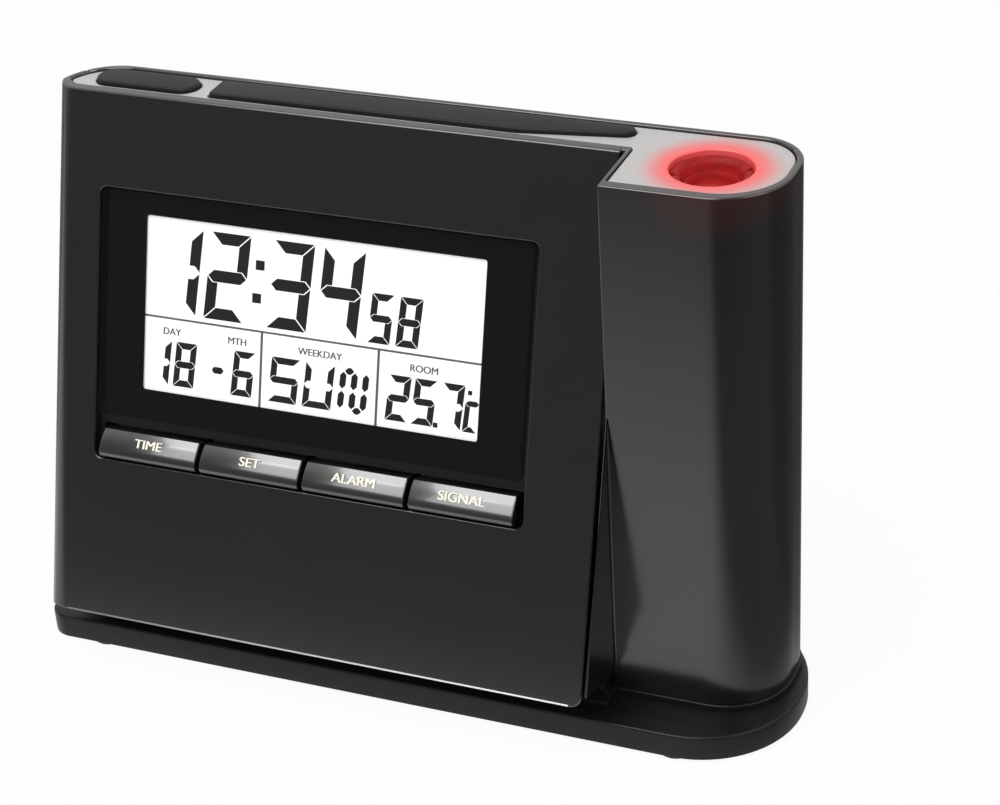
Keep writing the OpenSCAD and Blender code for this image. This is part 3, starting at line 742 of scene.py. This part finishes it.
class CLOCK_OT_housing(bpy.types.Operator):
    """Rounds the outer edges of both housing halves and parts the display body from the tower"""
    bl_idname = "clock.housing"
    bl_label = "Housing"

    def execute(self, context):
        width = context.scene.clock_sizes.edge_round
        cutters = (self.groove(), self.panel_corner())
        front = softened_copy("front_shell", "front_housing", width, on_outside, cutters)
        place(front, "housing", "housing", "housing", "front_shell")
        rear = softened_copy("rear_shell", "rear_housing", width, on_outside)
        place(rear, "housing", "housing", "housing", "rear_shell")
        # A thin silver line along the panel's foot, whose brightening to the right is a painted highlight.
        trim = slab("foot_trim", rectangle(mm(-64.8), mm(38.6), mm(0.05), mm(0.45), (mm(0.15),) * 4),
                    mm(-0.5), mm(0.02), mm(0.02), mm(0.1), steps=4)
        trim.data.transform(PANEL)
        place(trim, "housing", "trim", "deck")
        return {"FINISHED"}

    def groove(self):
        """The space beside the display body: in front of the tower, and a shallow groove behind the panel."""
        deep = mm(1)
        left, right = mm(41), mm(41.7)
        back = TOWER_FRONT + deep
        rise = (back - PANEL_FOOT_Y - deep * math.cos(PANEL_TILT)) / math.sin(PANEL_TILT)
        ahead, below, beyond = mm(-30), mm(3), mm(106)
        bend, top, front_top = (PANEL @ Vector(spot) for spot in (
            (0, rise, -deep), (0, beyond, -deep), (0, beyond, mm(3))))
        side = [(ahead, below), (back, below), (bend.y, bend.z), (top.y, top.z), (front_top.y, front_top.z),
                (ahead, front_top.z)]
        return loft("groove", [[(x, y, z) for y, z in side] for x in (left, right)])

    def panel_corner(self):
        """What lies outside the round lower right corner of the panel."""
        right, radius, beyond = mm(41), mm(2.2), mm(1)
        corner = arc(Vector((right - radius, radius)), radius, 0, -math.pi / 2, 8)
        shape = corner + [(right - radius, -beyond), (right + beyond, -beyond), (right + beyond, radius)]
        cutter = loft("corner", [[(x, y, z) for x, y in shape] for z in (mm(-9), mm(1))])
        cutter.data.transform(PANEL)
        tidy(cutter.data)
        return cutter


class CLOCK_OT_base(bpy.types.Operator):
    """Builds the base plate with its rounded edge, the plinth under the body and the feet"""
    bl_idname = "clock.base"
    bl_label = "Base"

    def execute(self, context):
        low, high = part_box("base_plate")
        slab_high = mm(5.8)
        radii = (mm(4.5), mm(19.4), (high.y - low.y) / 2 - mm(0.1), mm(14))
        plate = slab("base_plate_round", rectangle(low.x, high.x, low.y, high.y, radii), low.z, slab_high,
                     mm(0.3), context.scene.clock_sizes.base_round, steps=20)
        back, overlap = high.y - mm(4.9), mm(0.4)
        plinths = (rectangle(mm(-66.5), TOWER_LEFT + overlap, mm(-13), back, (mm(3), mm(0.3), mm(0.3), mm(7))),
                   rectangle(TOWER_LEFT - overlap, mm(72.4), mm(-8), back, (mm(0.5), mm(13), mm(9.5), mm(0.5))))
        for corners in plinths:
            combine(plate, slab("plinth", corners, slab_high - mm(2), high.z, mm(0.1), mm(0.25)), "UNION")
        self.cut_recesses(plate, low.z)
        place(plate, "housing", "base", "housing", "base_plate")
        coat_nodes("rubber", "rubber_feet")
        return {"FINISHED"}

    def cut_recesses(self, plate, level):
        """Cuts the screw holes, the foot seats and the two shallow pockets into the underside."""
        screws = ((-58, 0), (28, 0), (-15, 8), (57, 2))
        feet = ((-63, -12.7), (55.3, -12.7), (-60, 15.6), (54.7, 17))
        for spots, radius, deep in ((screws, mm(3.1), mm(2.2)), (feet, mm(3.7), mm(0.8))):
            for x, y in spots:
                hole = drill("hole", radius, level - mm(1), level + deep, Vector((mm(x), mm(y), 0)), 48)
                combine(plate, hole, "DIFFERENCE")
        for x0, x1 in ((-48, -22), (-8, 20)):
            pocket = slab("pocket", rectangle(mm(x0), mm(x1), mm(-12), mm(18), (mm(2),) * 4), level - mm(1),
                          level + mm(2), 0.0, mm(0.3), steps=6)
            combine(plate, pocket, "DIFFERENCE")


class CLOCK_OT_deck(bpy.types.Operator):
    """Finishes the silver deck in the rim of the top"""
    bl_idname = "clock.deck"
    bl_label = "Top deck"

    def execute(self, context):
        upper = on_face(2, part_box("top_deck")[1].z)
        deck = softened_copy("top_deck", "silver_deck", mm(0.3), upper)
        place(deck, "housing", "deck", "deck", "top_deck")
        return {"FINISHED"}


class CLOCK_OT_top_controls(bpy.types.Operator):
    """Builds the snooze bar and the oval light button with their flanges"""
    bl_idname = "clock.top_controls"
    bl_label = "Top controls"

    def execute(self, context):
        rounding = context.scene.clock_sizes.bar_round
        low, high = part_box("light_button")
        half, long, flange = mm(3.15), mm(20.8), mm(0.6)
        middle = (low.y + high.y) / 2 + mm(0.09)
        right = high.x - flange
        oval = rectangle(right - long, right, middle - half, middle + half, (half - mm(0.02),) * 4)
        self.control("light_button", "light_button_round", "light", oval, rounding)
        self.control("snooze_bar", "snooze_bar_round", "snooze", self.bar_corners(), rounding)
        return {"FINISHED"}

    def bar_corners(self):
        """The bar's outline: its front edge runs back towards a round tip at the right end."""
        low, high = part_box("snooze_bar")
        flange = mm(0.6)
        left, right = low.x + flange, high.x - flange
        front = low.y + flange
        back = front + mm(6.4)
        slope = math.tan(math.radians(9))
        bend = right - mm(19.87)
        return [(left, front, mm(1)), (bend, front, mm(30)), (right, front + (right - bend) * slope, mm(1.65)),
                (right, back, mm(1.65)), (left, back, mm(1))]

    def control(self, node, name, body, corners, rounding):
        """A pad with a rounded upper edge on the flange of its node."""
        low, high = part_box(node)
        pad = slab(name, corners, low.z + mm(0.2), high.z, mm(0.05), rounding, sharp=50, steps=16)
        flange = link("flange", bpy.data.meshes.new("flange"))
        flattened(NODES[node].data, flange.data)
        tidy(flange.data)
        beyond = Vector((mm(1),) * 3)
        above = box_mesh("above", (low.x - beyond.x, low.y - beyond.y, low.z + mm(1.3)), high + beyond)
        combine(flange, above, "DIFFERENCE")
        combine(pad, flange, "UNION")
        place(pad, body, "bar", "bar", node)


# ---- Window, display and keys ----

class CLOCK_OT_window(bpy.types.Operator):
    """Builds the clear window and the black print behind it"""
    bl_idname = "clock.window"
    bl_label = "Window"

    def execute(self, context):
        corners = rectangle(mm(-59.3), mm(26.4), mm(39.6), mm(83.1), (mm(1.2),) * 4)
        pane = slab("window_pane", corners, mm(-1.95), mm(-0.4), 0.0, 0.0, steps=8)
        pane.data.transform(PANEL)
        place(pane, "housing", "pane", "window", "display_window")
        border = slab("window_border", corners, mm(-2.08), mm(-1.98), 0.0, 0.0, steps=8)
        opening = rectangle(mm(-50.6), mm(17.3), mm(45.6), mm(78.8), (mm(0.5),) * 4)
        hole = slab("hole", opening, mm(-3), mm(-1), 0.0, 0.0, steps=4)
        combine(border, hole, "DIFFERENCE")
        border.data.transform(PANEL)
        place(border, "housing", "mask", "black_plastic")
        coat_nodes("frame", "display_frame")
        return {"FINISHED"}


# How far the digits lean over, for a height of 1
SLANT = 0.078
# Which of the seven bars a digit shows: top, upper left, upper right, middle, lower left, lower right, bottom
DIGIT_BARS = {
    "1": "0010010", "2": "1011101", "3": "1011011", "4": "0111010", "5": "1101011", "6": "1101111",
    "7": "1010010", "8": "1111111", "S": "1101011", "U": "0110111", "-": "0001000", "c": "0001101",
}


def bar_shape(x0, y0, x1, y1, thick, tip):
    """A display bar between two points, with pointed tips."""
    along = Vector((x1 - x0, y1 - y0))
    along.normalize()
    side = Vector((-along.y, along.x)) * thick / 2
    start = Vector((x0, y0))
    end = Vector((x1, y1))
    return [start, start + along * tip + side, end - along * tip + side, end, end - along * tip - side,
            start + along * tip - side]


def digit_shapes(character, x, y, wide, high, thick):
    """The outlines of one digit's bars, mitred where they meet. x and y are its lower left corner."""
    gap = thick * 0.07
    half = thick / 2
    upper = [(gap, high), (wide - gap, high), (wide - thick - gap, high - thick), (thick + gap, high - thick)]
    post = [(0, high - gap), (0, high / 2 + gap), (half, high / 2 + half + gap), (thick, high / 2 + half + gap),
            (thick, high - thick - gap)]
    middle = [(gap, high / 2), (half + gap, high / 2 + half), (wide - half - gap, high / 2 + half),
              (wide - gap, high / 2), (wide - half - gap, high / 2 - half), (half + gap, high / 2 - half)]
    bars = [upper, post, mirrored(post, wide, 0), middle, mirrored(post, 0, high),
            mirrored(mirrored(post, wide, 0), 0, high), mirrored(upper, 0, high)]
    shown = [bar for bar, mark in zip(bars, DIGIT_BARS[character]) if mark == "1"]
    return [[Vector((x + px + py * SLANT, y + py)) for px, py in bar] for bar in shown]


def mirrored(shape, wide, high):
    """A shape mirrored left to right within a width, or top to bottom within a height, when that is not zero."""
    return [(wide - px if wide else px, high - py if high else py) for px, py in reversed(shape)]


def square_shape(x, y, side):
    """A square dot around a point."""
    h = side / 2
    return [Vector((x - h, y - h)), Vector((x + h, y - h)), Vector((x + h, y + h)), Vector((x - h, y + h))]


def raised(name, shapes, level, height):
    """Thin closed plates with the given outlines, in the panel's plane."""
    plates = [loft("plate", [[(p.x, p.y, z) for p in shape] for z in (level, level + height)]) for shape in shapes]
    piece = joined(name, plates)
    piece.data.transform(PANEL)
    return piece


def words(name, text, height, where, thickness, turn=PANEL, wide=1.0, heavy=0.0):
    """A printed word, centred on a point of a plane."""
    curve = bpy.data.curves.new(name, "FONT")
    curve.body = text
    curve.size = height / CAPITAL
    curve.align_x = "CENTER"
    curve.align_y = "CENTER"
    curve.extrude = thickness / 2
    piece = bpy.data.objects.new(name, curve)
    bpy.context.scene.collection.objects.link(piece)
    mesh = evaluated_mesh(piece)
    bpy.data.objects.remove(piece)
    bpy.data.curves.remove(curve)
    tidy(mesh)
    word = link(name, mesh)
    if heavy:
        for shift in (-heavy, heavy):
            copy = link("copy", mesh.copy())
            copy.data.transform(Matrix.Translation((shift, 0, 0)))
            combine(word, copy, "UNION")
    word.data.transform(turn @ Matrix.Translation(where) @ Matrix.Diagonal((wide, 1, 1, 1)))
    tidy(word.data)
    return word


class CLOCK_OT_display(bpy.types.Operator):
    """Draws the display's digits, its dividing lines and its small captions on the glass"""
    bl_idname = "clock.display"
    bl_label = "Display"

    def execute(self, context):
        sizes = context.scene.clock_sizes
        level = mm(-2.4)
        height = sizes.print_height
        shapes = self.time_shapes(sizes.time_height) + self.lower_shapes(sizes.small_height)
        digits = raised("display_digits", shapes, level, height)
        place(digits, "housing", "segment", "lcd")
        lines = [[Vector((mm(x), mm(y))) for x, y in corners] for corners in (
            ((-52, 59.58), (18.4, 59.58), (18.4, 59.96), (-52, 59.96)),
            ((-26.62, 44.5), (-26.14, 44.5), (-26.14, 59.58), (-26.62, 59.58)),
            ((-3.07, 44.5), (-2.58, 44.5), (-2.58, 59.58), (-3.07, 59.58)))]
        place(raised("display_lines", lines, level, height), "housing", "caption", "lcd")
        captions = (("DAY", -45, 57.2), ("MTH", -31.4, 57.2), ("WEEKDAY", -14.5, 57.2), ("ROOM", 6.2, 57.2))
        for text, x, y in captions:
            caption = words("caption_" + text.lower(), text, mm(1.35), (mm(x), mm(y), level + height / 2), height,
                            heavy=mm(0.05))
            place(caption, "housing", "caption", "lcd")
        coat_nodes("lcd", "lcd_glass")
        return {"FINISHED"}

    def time_shapes(self, high):
        """The large hours and minutes with their colon, and the small seconds."""
        bottom = mm(60.8)
        wide, thick = mm(8.1), mm(2.2)
        shapes = []
        for character, x in (("1", -48.4), ("2", -38.6), ("3", -25.7), ("4", -15.6)):
            shapes += digit_shapes(character, mm(x), bottom, wide, high, thick)
        shapes += [square_shape(mm(-27.25), mm(72.1), mm(1.8)), square_shape(mm(-27.75), mm(65.9), mm(1.8))]
        for character, x in (("5", -5.3), ("8", 0.3)):
            shapes += digit_shapes(character, mm(x), bottom, mm(4.4), mm(9.2), mm(1.3))
        return shapes

    def lower_shapes(self, high):
        """The date, the weekday and the temperature in the lower row."""
        bottom = mm(47)
        thick = mm(1.25)
        shapes = []
        for character, x in (("1", -49.9), ("8", -44.6), ("6", -32.5), ("2", -1.1), ("5", 4.0), ("7", 9.4)):
            shapes += digit_shapes(character, mm(x), bottom, mm(4.3), high, thick)
        shapes += digit_shapes("c", mm(14.1), bottom, mm(2.7), high * 1.25, thick * 0.8)
        shapes.append(bar_shape(mm(-36.5), mm(51.2), mm(-34), mm(51.2), thick, thick * 0.4))
        shapes += [square_shape(mm(8.9), mm(47.4), mm(0.9)), square_shape(mm(15.3), mm(54.3), mm(0.8))]
        for character, x in (("S", -24.8), ("U", -17.8)):
            shapes += digit_shapes(character, mm(x), bottom, mm(5.8), high, thick)
        shapes += self.letter_n(mm(-10.8), bottom, mm(5.8), high, thick)
        return shapes

    def letter_n(self, x, y, wide, high, thick):
        """A boxy letter N: both uprights, a middle bar, and half bars at the top and the bottom."""
        left, centre, right = x + thick / 2, x + wide / 2, x + wide - thick / 2
        low, middle, top = y + thick / 2, y + high / 2, y + high - thick / 2
        gap = thick * 0.16
        bars = [(left, low + gap, left, middle - gap), (left, middle + gap, left, top - gap),
                (right, low + gap, right, middle - gap), (right, middle + gap, right, top - gap),
                (left + gap, top, centre - gap, top), (centre, middle + gap, centre, top - gap),
                (centre, low + gap, centre, middle - gap), (centre + gap, low, right - gap, low)]
        shapes = [bar_shape(*bar, thick, thick * 0.5) for bar in bars]
        return [[Vector((p.x + (p.y - y) * SLANT, p.y)) for p in shape] for shape in shapes]


def key_profile():
    """The side view of a function key: a short lower face, a round crest and a long falling upper face."""
    low, crest, high = 31.8, 33.0, 37.2
    foot, bend, top = -4.6, -0.1, 1.25
    reach, rise, fall, steps = 1.2, 1.35, 4.1, 10
    points = [(low, foot), (low, bend)]
    for k in range(7):
        angle = math.radians(180 - 90 * k / 6)
        points.append((crest + reach * math.cos(angle), bend + rise * math.sin(angle)))
    for k in range(1, steps + 1):
        share = k / steps
        points.append((crest + fall * share, top - 0.35 * share - 1.75 * share ** 1.7))
    points += [(high, -1.3), (high, foot)]
    return [(mm(s), mm(n)) for s, n in points]


class CLOCK_OT_keys(bpy.types.Operator):
    """Builds the four function keys with their words"""
    bl_idname = "clock.keys"
    bl_label = "Function keys"

    def execute(self, context):
        for name in KEYS:
            self.key(name, context.scene.clock_sizes)
        return {"FINISHED"}

    def key(self, name, sizes):
        """One key on its flange, and the word on its upper face."""
        low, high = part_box(name + "_button")
        profile = key_profile()
        rings = [[(x, s, n) for s, n in profile] for x in (low.x, high.x)]
        key = rounded_edges(loft(name + "_key", rings), mm(0.28), 4, 50)
        plate = box_mesh("flange", (low.x, mm(30.4), mm(-4.9)), (high.x, mm(38.8), mm(-4.3)))
        flange = rounded_edges(plate, mm(0.08))
        combine(key, flange, "UNION")
        key.data.transform(PANEL)
        place(key, name + "_key", "key", "key", name + "_button")
        lean = math.radians(-24)
        middle = Vector(((low.x + high.x) / 2, mm(35.35), mm(0.47)))
        turn = PANEL @ Matrix.Translation(middle) @ Matrix.Rotation(lean, 4, "X")
        label = words(name + "_word", name.upper(), sizes.label_height, (0, 0, 0), mm(0.12), turn, 1.12, mm(0.06))
        place(label, name + "_key", "label", "key")


# ---- Projector ----

class CLOCK_OT_projector(bpy.types.Operator):
    """Builds the focus ring, the lens barrel and the lens, all three with a painted red glow, and finishes the parts
    below them
    """
    bl_idname = "clock.projector"
    bl_label = "Projector"

    def execute(self, context):
        self.ring()
        self.barrel()
        self.lens()
        coat_nodes("black", "projector_tube")
        coat_nodes("optic", "condenser_lens", "image_panel", "rear_lens")
        coat_nodes("led", "projector_led")
        return {"FINISHED"}

    def ring(self):
        """A ring with a rounded lip, two small marks in its top and a flange under the deck."""
        low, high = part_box("focus_ring")
        outer, inner, wide = mm(6.95), mm(5.35), mm(8.4)
        top = high.z
        flange_low, flange_high = top - mm(3.0), top - mm(1.5)
        profile = [(inner, low.z), (outer, low.z), (outer, flange_low), (wide, flange_low), (wide, flange_high),
                   (outer, flange_high), (outer, top - mm(0.35)), (outer - mm(0.12), top - mm(0.1)),
                   (outer - mm(0.4), top), (inner + mm(0.75), top - mm(0.15)), (inner + mm(0.2), top - mm(0.7)),
                   (inner, top - mm(1.1))]
        ring = lathe("focus_ring_round", profile, LENS_AXIS)
        for side in (0, 180):
            angle = math.radians(23.5 + side)
            spot = LENS_AXIS + Vector((math.cos(angle), math.sin(angle), 0)) * mm(6.6)
            combine(ring, drill("notch", mm(0.65), top - mm(1.0), top + mm(1), spot, 24), "DIFFERENCE")
        place(ring, "ring", "ring", "focus_ring", "focus_ring")

    def barrel(self):
        """The lens barrel with a stepped mouth."""
        low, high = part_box("lens_barrel")
        inner, outer = mm(4.1), mm(4.9)
        profile = [(inner, low.z), (outer, low.z), (outer, high.z - mm(0.2)), (outer - mm(0.2), high.z),
                   (inner + mm(0.25), high.z), (inner, high.z - mm(0.5))]
        barrel = lathe("lens_barrel_round", profile, LENS_AXIS)
        place(barrel, "barrel", "ring", "black_plastic", "lens_barrel")

    def lens(self):
        """The domed front lens."""
        low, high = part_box("front_lens")
        edge = high.z - mm(0.9)
        radius, crown, steps = mm(4.0), mm(0.9), 12
        profile = [(0.0, low.z), (mm(3.9), low.z), (radius, low.z + mm(0.1)), (radius, edge)]
        for k in range(1, steps + 1):
            reach = 1 - k / steps
            profile.append((radius * reach, edge + crown * (1 - reach ** 2)))
        lens = lathe("front_lens_round", profile, LENS_AXIS)
        place(lens, "barrel", "lens", "projection_lens", "front_lens")


# ---- Rear, underside and inside ----

def screw_pattern(radius, height):
    """A pan-head screw top with a cross recess, facing up at the origin."""
    profile = [(0.0, 0), (radius, 0), (radius, height * 0.5), (radius * 0.92, height * 0.8),
               (radius * 0.75, height * 0.95), (0.0, height)]
    head = lathe("screw_pattern", profile, Vector((0, 0, 0)), 40)
    for wide, deep in ((radius * 1.1, radius * 0.3), (radius * 0.3, radius * 1.1)):
        slot = box_mesh("slot", (-wide / 2, -deep / 2, height * 0.35), (wide / 2, deep / 2, height * 2))
        combine(head, slot, "DIFFERENCE")
    return head


class CLOCK_OT_rear(bpy.types.Operator):
    """Finishes the battery door, the rear controls, the inlet and the screws"""
    bl_idname = "clock.rear"
    bl_label = "Rear"

    def execute(self, context):
        outer = on_face(1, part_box("battery_door")[1].y)
        door = softened_copy("battery_door", "battery_door_round", mm(0.2), outer)
        place(door, "door", "housing", "housing", "battery_door")
        self.knob()
        self.reset()
        self.screws()
        coat_nodes("black", "dc_jack")
        return {"FINISHED"}

    def knob(self):
        """The slide switch's knob with three ribs."""
        low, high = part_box("switch_knob")
        knob = rounded_edges(box_mesh("switch_knob_ribbed", low, high), mm(0.25))
        for k in (-1, 0, 1):
            x = (low.x + high.x) / 2 + k * mm(0.9)
            groove = box_mesh("groove", (x - mm(0.18), high.y - mm(0.25), low.z - mm(1)),
                              (x + mm(0.18), high.y + mm(1), high.z + mm(1)))
            combine(knob, groove, "DIFFERENCE")
        place(knob, "knob", "bar", "bar", "switch_knob")

    def reset(self):
        """The small round reset button, turned about the Y axis."""
        low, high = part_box("reset_button")
        flange, cap, tall = mm(2.7), mm(1.7), high.y - low.y
        profile = [(0.0, 0), (flange, 0), (flange, mm(1.25)), (cap, mm(1.3)), (cap, tall - mm(0.3)),
                   (cap - mm(0.3), tall), (0.0, tall)]
        button = lathe("reset_button_round", profile, Vector((0, 0, 0)), 40)
        centre = (low + high) / 2
        spot = Matrix.Translation((centre.x, low.y, centre.z))
        button.data.transform(spot @ Matrix.Rotation(-math.pi / 2, 4, "X"))
        place(button, "reset", "bar", "bar", "reset_button")

    def screws(self):
        """The heads of the five housing screws, each with a cross recess."""
        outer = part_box("shell_screws")[1].y
        spots = [(mm(x), outer - mm(1.2), mm(z)) for x, z in ((-61, 101), (36, 101), (-61, 24), (36, 22), (57, 22))]
        pattern = screw_pattern(mm(2.65), mm(1.2))
        pattern.data.transform(Matrix.Rotation(-math.pi / 2, 4, "X"))
        heads = copies("screw_heads", pattern, spots, finish("steel"))
        place(heads, "housing", "steel", "steel")
        coat_nodes("steel", "shell_screws")


class CLOCK_OT_springs(bpy.types.Operator):
    """Winds the two cone-shaped battery springs"""
    bl_idname = "clock.springs"
    bl_label = "Battery springs"

    def execute(self, context):
        low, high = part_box("contact_springs")
        cell_y = (low.y + high.y) / 2
        tree, start, out = begin_tree("spring_tree", (
            ("Turns", 5.0), ("Wide radius", mm(4.8)), ("Narrow radius", mm(2.8)), ("Length", mm(5.2)),
            ("Wire", mm(0.4))))
        given = start.outputs
        spiral = add_node(tree, "GeometryNodeCurveSpiral", {
            "Resolution": 24, "Rotations": given["Turns"], "Start Radius": given["Wide radius"],
            "End Radius": given["Narrow radius"], "Height": given["Length"]})
        wire = add_node(tree, "GeometryNodeCurvePrimitiveCircle", {"Resolution": 10, "Radius": given["Wire"]})
        sweep = add_node(tree, "GeometryNodeCurveToMesh", {
            "Curve": spiral.outputs["Curve"], "Profile Curve": wire.outputs["Curve"], "Fill Caps": True})
        end_tree(tree, sweep.outputs["Mesh"], out, finish("steel"))
        springs = []
        cells = (("upper_cell", high.x, -1), ("lower_cell", low.x, 1))
        for node, x, way in cells:
            cell_low, cell_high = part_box(node)
            spring = grown("spring_" + node, [(0, 0, 0)], tree)
            turn = Matrix.Rotation(way * math.pi / 2, 4, "Y")
            spring.data.transform(Matrix.Translation((x, cell_y, (cell_low.z + cell_high.z) / 2)) @ turn)
            springs.append(spring)
        place(joined("battery_springs", springs), "housing", "steel", "steel", "contact_springs")
        return {"FINISHED"}


class CLOCK_OT_inside(bpy.types.Operator):
    """Gives every inner part its finish"""
    bl_idname = "clock.inside"
    bl_label = "Inside"

    def execute(self, context):
        looks = {
            "steel": ("base_screws", "board_screws", "tube_screws", "crystal", "contact_plates", "slide_switch"),
            "black": ("key_switches", "deck_switches", "processor", "reset_switch", "buzzer", "temperature_sensor"),
            "board": ("main_board", "deck_board", "side_board", "led_board"),
            "dark_board": ("key_board",),
            "milky": ("backlight_panel", "antenna_holder"),
            "elastomer": ("contact_strip",),
            "wire": ("power_wires", "projector_wires"),
            "ferrite": ("antenna_rod",),
            "copper": ("antenna_coil",),
            "cell": ("upper_cell", "lower_cell"),
        }
        for look, nodes in looks.items():
            coat_nodes(look, *nodes)
        return {"FINISHED"}


# ---- Stage ----

def camera_rays(tree):
    """1 for rays straight from the camera, and 1 for rays from mirrors and glass."""
    path = tree.nodes.new("ShaderNodeLightPath").outputs
    return path["Is Camera Ray"], calculated(tree, "MAXIMUM", path["Is Glossy Ray"], path["Is Transmission Ray"])


class CLOCK_OT_stage(bpy.types.Operator):
    """Sets up the camera, the pale floor, the white surroundings and the soft lamps"""
    bl_idname = "clock.stage"
    bl_label = "Stage"

    def execute(self, context):
        stage = context.scene.clock_stage
        self.camera(context, stage)
        self.floor(stage)
        self.world(context)
        self.lamp("key_lamp", (-0.12, -0.62, 0.78), (0, 0, 0.05), (0.72, 0.45), stage.key_power)
        self.lamp("fill_lamp", (0.75, -0.25, 0.55), (0, 0, 0.05), (0.5, 0.5), stage.fill_power)
        self.lamp("top_lamp", (-0.15, -0.2, 0.7), (-0.15, -0.2, 0), (0.4, 0.3), stage.top_power)
        context.scene.view_settings.view_transform = "Standard"
        return {"FINISHED"}

    def camera(self, context, stage):
        """The camera looks at the view point from the right and from above."""
        turn, drop, roll = stage.view_turn, stage.view_drop, stage.view_roll
        ahead = Vector((-math.sin(turn) * math.cos(drop), math.cos(turn) * math.cos(drop), -math.sin(drop)))
        level = Vector((math.cos(turn), math.sin(turn), 0))
        above = level.cross(ahead)
        right = level * math.cos(roll) + above * math.sin(roll)
        up = above * math.cos(roll) - level * math.sin(roll)
        spot = Vector(stage.view_point) - ahead * stage.view_distance
        camera = bpy.data.cameras.new("camera")
        camera.lens = stage.lens
        camera.sensor_fit = "HORIZONTAL"
        camera.sensor_width = 36.0
        camera.clip_start = 0.01
        camera.clip_end = 50.0
        holder = bpy.data.objects.new("camera", camera)
        holder.matrix_world = Matrix(((right.x, up.x, -ahead.x, spot.x), (right.y, up.y, -ahead.y, spot.y),
                                      (right.z, up.z, -ahead.z, spot.z), (0, 0, 0, 1)))
        context.scene.collection.objects.link(holder)
        context.scene.camera = holder

    def floor(self, stage):
        """A white floor that keeps a soft shadow."""
        half = stage.floor_size / 2
        mesh = bpy.data.meshes.new("floor")
        mesh.from_pydata([(-half, -half, 0), (half, -half, 0), (half, half, 0), (-half, half, 0)], [], [(0, 1, 2, 3)])
        floor = link("floor", mesh)
        material, tree = bare_finish("white_floor")
        matt = add_node(tree, "ShaderNodeBsdfDiffuse", {"Color": (0.80, 0.80, 0.80, 1)})
        direct, mirrored_rays = camera_rays(tree)
        spot = axis_values(tree)
        ahead = ramp(tree, spot["Y"], mm(-270), mm(-40), 0.20, 1.0)
        side = ramp(tree, spot["X"], mm(55), mm(95), 1.0, 0.15)
        behind = ramp(tree, spot["Y"], mm(0), mm(40), 1.0, 0.35)
        room = calculated(tree, "MULTIPLY", calculated(tree, "MULTIPLY", ahead, side), behind)
        white = add_node(tree, "ShaderNodeEmission", {"Strength": mixed(tree, direct, room, 1.0)})
        share = calculated(tree, "MULTIPLY", calculated(tree, "MAXIMUM", direct, mirrored_rays), 0.94)
        mixed_shaders(tree, share, matt.outputs["BSDF"], white.outputs["Emission"])
        floor.data.materials.append(material)

    def world(self, context):
        """White behind and above the clock, and a darker room in front of it."""
        world = bpy.data.worlds.new("studio")
        world.use_nodes = True
        tree = world.node_tree
        direct, mirrored_rays = camera_rays(tree)
        room = ramp(tree, axis_values(tree, "Generated")["Y"], -0.55, -0.05, 0.22, 1.0)
        lighting = mixed(tree, mirrored_rays, 0.45, room)
        feed(tree, tree.nodes["Background"], {"Color": (1, 1, 1, 1), "Strength": mixed(tree, direct, lighting, 1.0)})
        context.scene.world = world

    def lamp(self, name, spot, target, size, power):
        """A soft rectangular lamp that faces a target."""
        light = bpy.data.lights.new(name, "AREA")
        light.shape = "RECTANGLE"
        light.size, light.size_y = size
        light.energy = power
        holder = bpy.data.objects.new(name, light)
        way = Vector(target) - Vector(spot)
        holder.location = spot
        holder.rotation_euler = way.to_track_quat("-Z", "Y").to_euler()
        bpy.context.scene.collection.objects.link(holder)


# ---- Add-on ----

class CLOCK_PT_panel(bpy.types.Panel):
    """Lists the clock's pieces and settings"""
    bl_idname = "CLOCK_PT_panel"
    bl_label = "Projection alarm clock"
    bl_space_type = "VIEW_3D"
    bl_region_type = "UI"
    bl_category = "Clock"

    def draw(self, context):
        for group in ("clock_sizes", "clock_colours", "clock_stage"):
            settings = getattr(context.scene, group)
            for name in settings.bl_rna.properties.keys():
                if name not in ("rna_type", "name"):
                    self.layout.prop(settings, name)
        for step in STEPS:
            self.layout.operator("clock." + step)


SETTINGS = (("clock_sizes", ClockSizes), ("clock_colours", ClockColours), ("clock_stage", ClockStage))
OPERATORS = (CLOCK_OT_housing, CLOCK_OT_base, CLOCK_OT_deck, CLOCK_OT_top_controls, CLOCK_OT_window,
             CLOCK_OT_display, CLOCK_OT_keys, CLOCK_OT_projector, CLOCK_OT_rear, CLOCK_OT_springs,
             CLOCK_OT_inside, CLOCK_OT_stage)
STEPS = [operator.bl_idname.split(".")[1] for operator in OPERATORS]


def register():
    for name, group in SETTINGS:
        bpy.utils.register_class(group)
        setattr(bpy.types.Scene, name, PointerProperty(type=group))
    for operator in OPERATORS:
        bpy.utils.register_class(operator)
    bpy.utils.register_class(CLOCK_PT_panel)


def unregister():
    bpy.utils.unregister_class(CLOCK_PT_panel)
    for operator in reversed(OPERATORS):
        bpy.utils.unregister_class(operator)
    for name, group in reversed(SETTINGS):
        delattr(bpy.types.Scene, name)
        bpy.utils.unregister_class(group)


def main():
    register()
    for step in STEPS:
        getattr(bpy.ops.clock, step)()


if __name__ == "__main__":
    main()
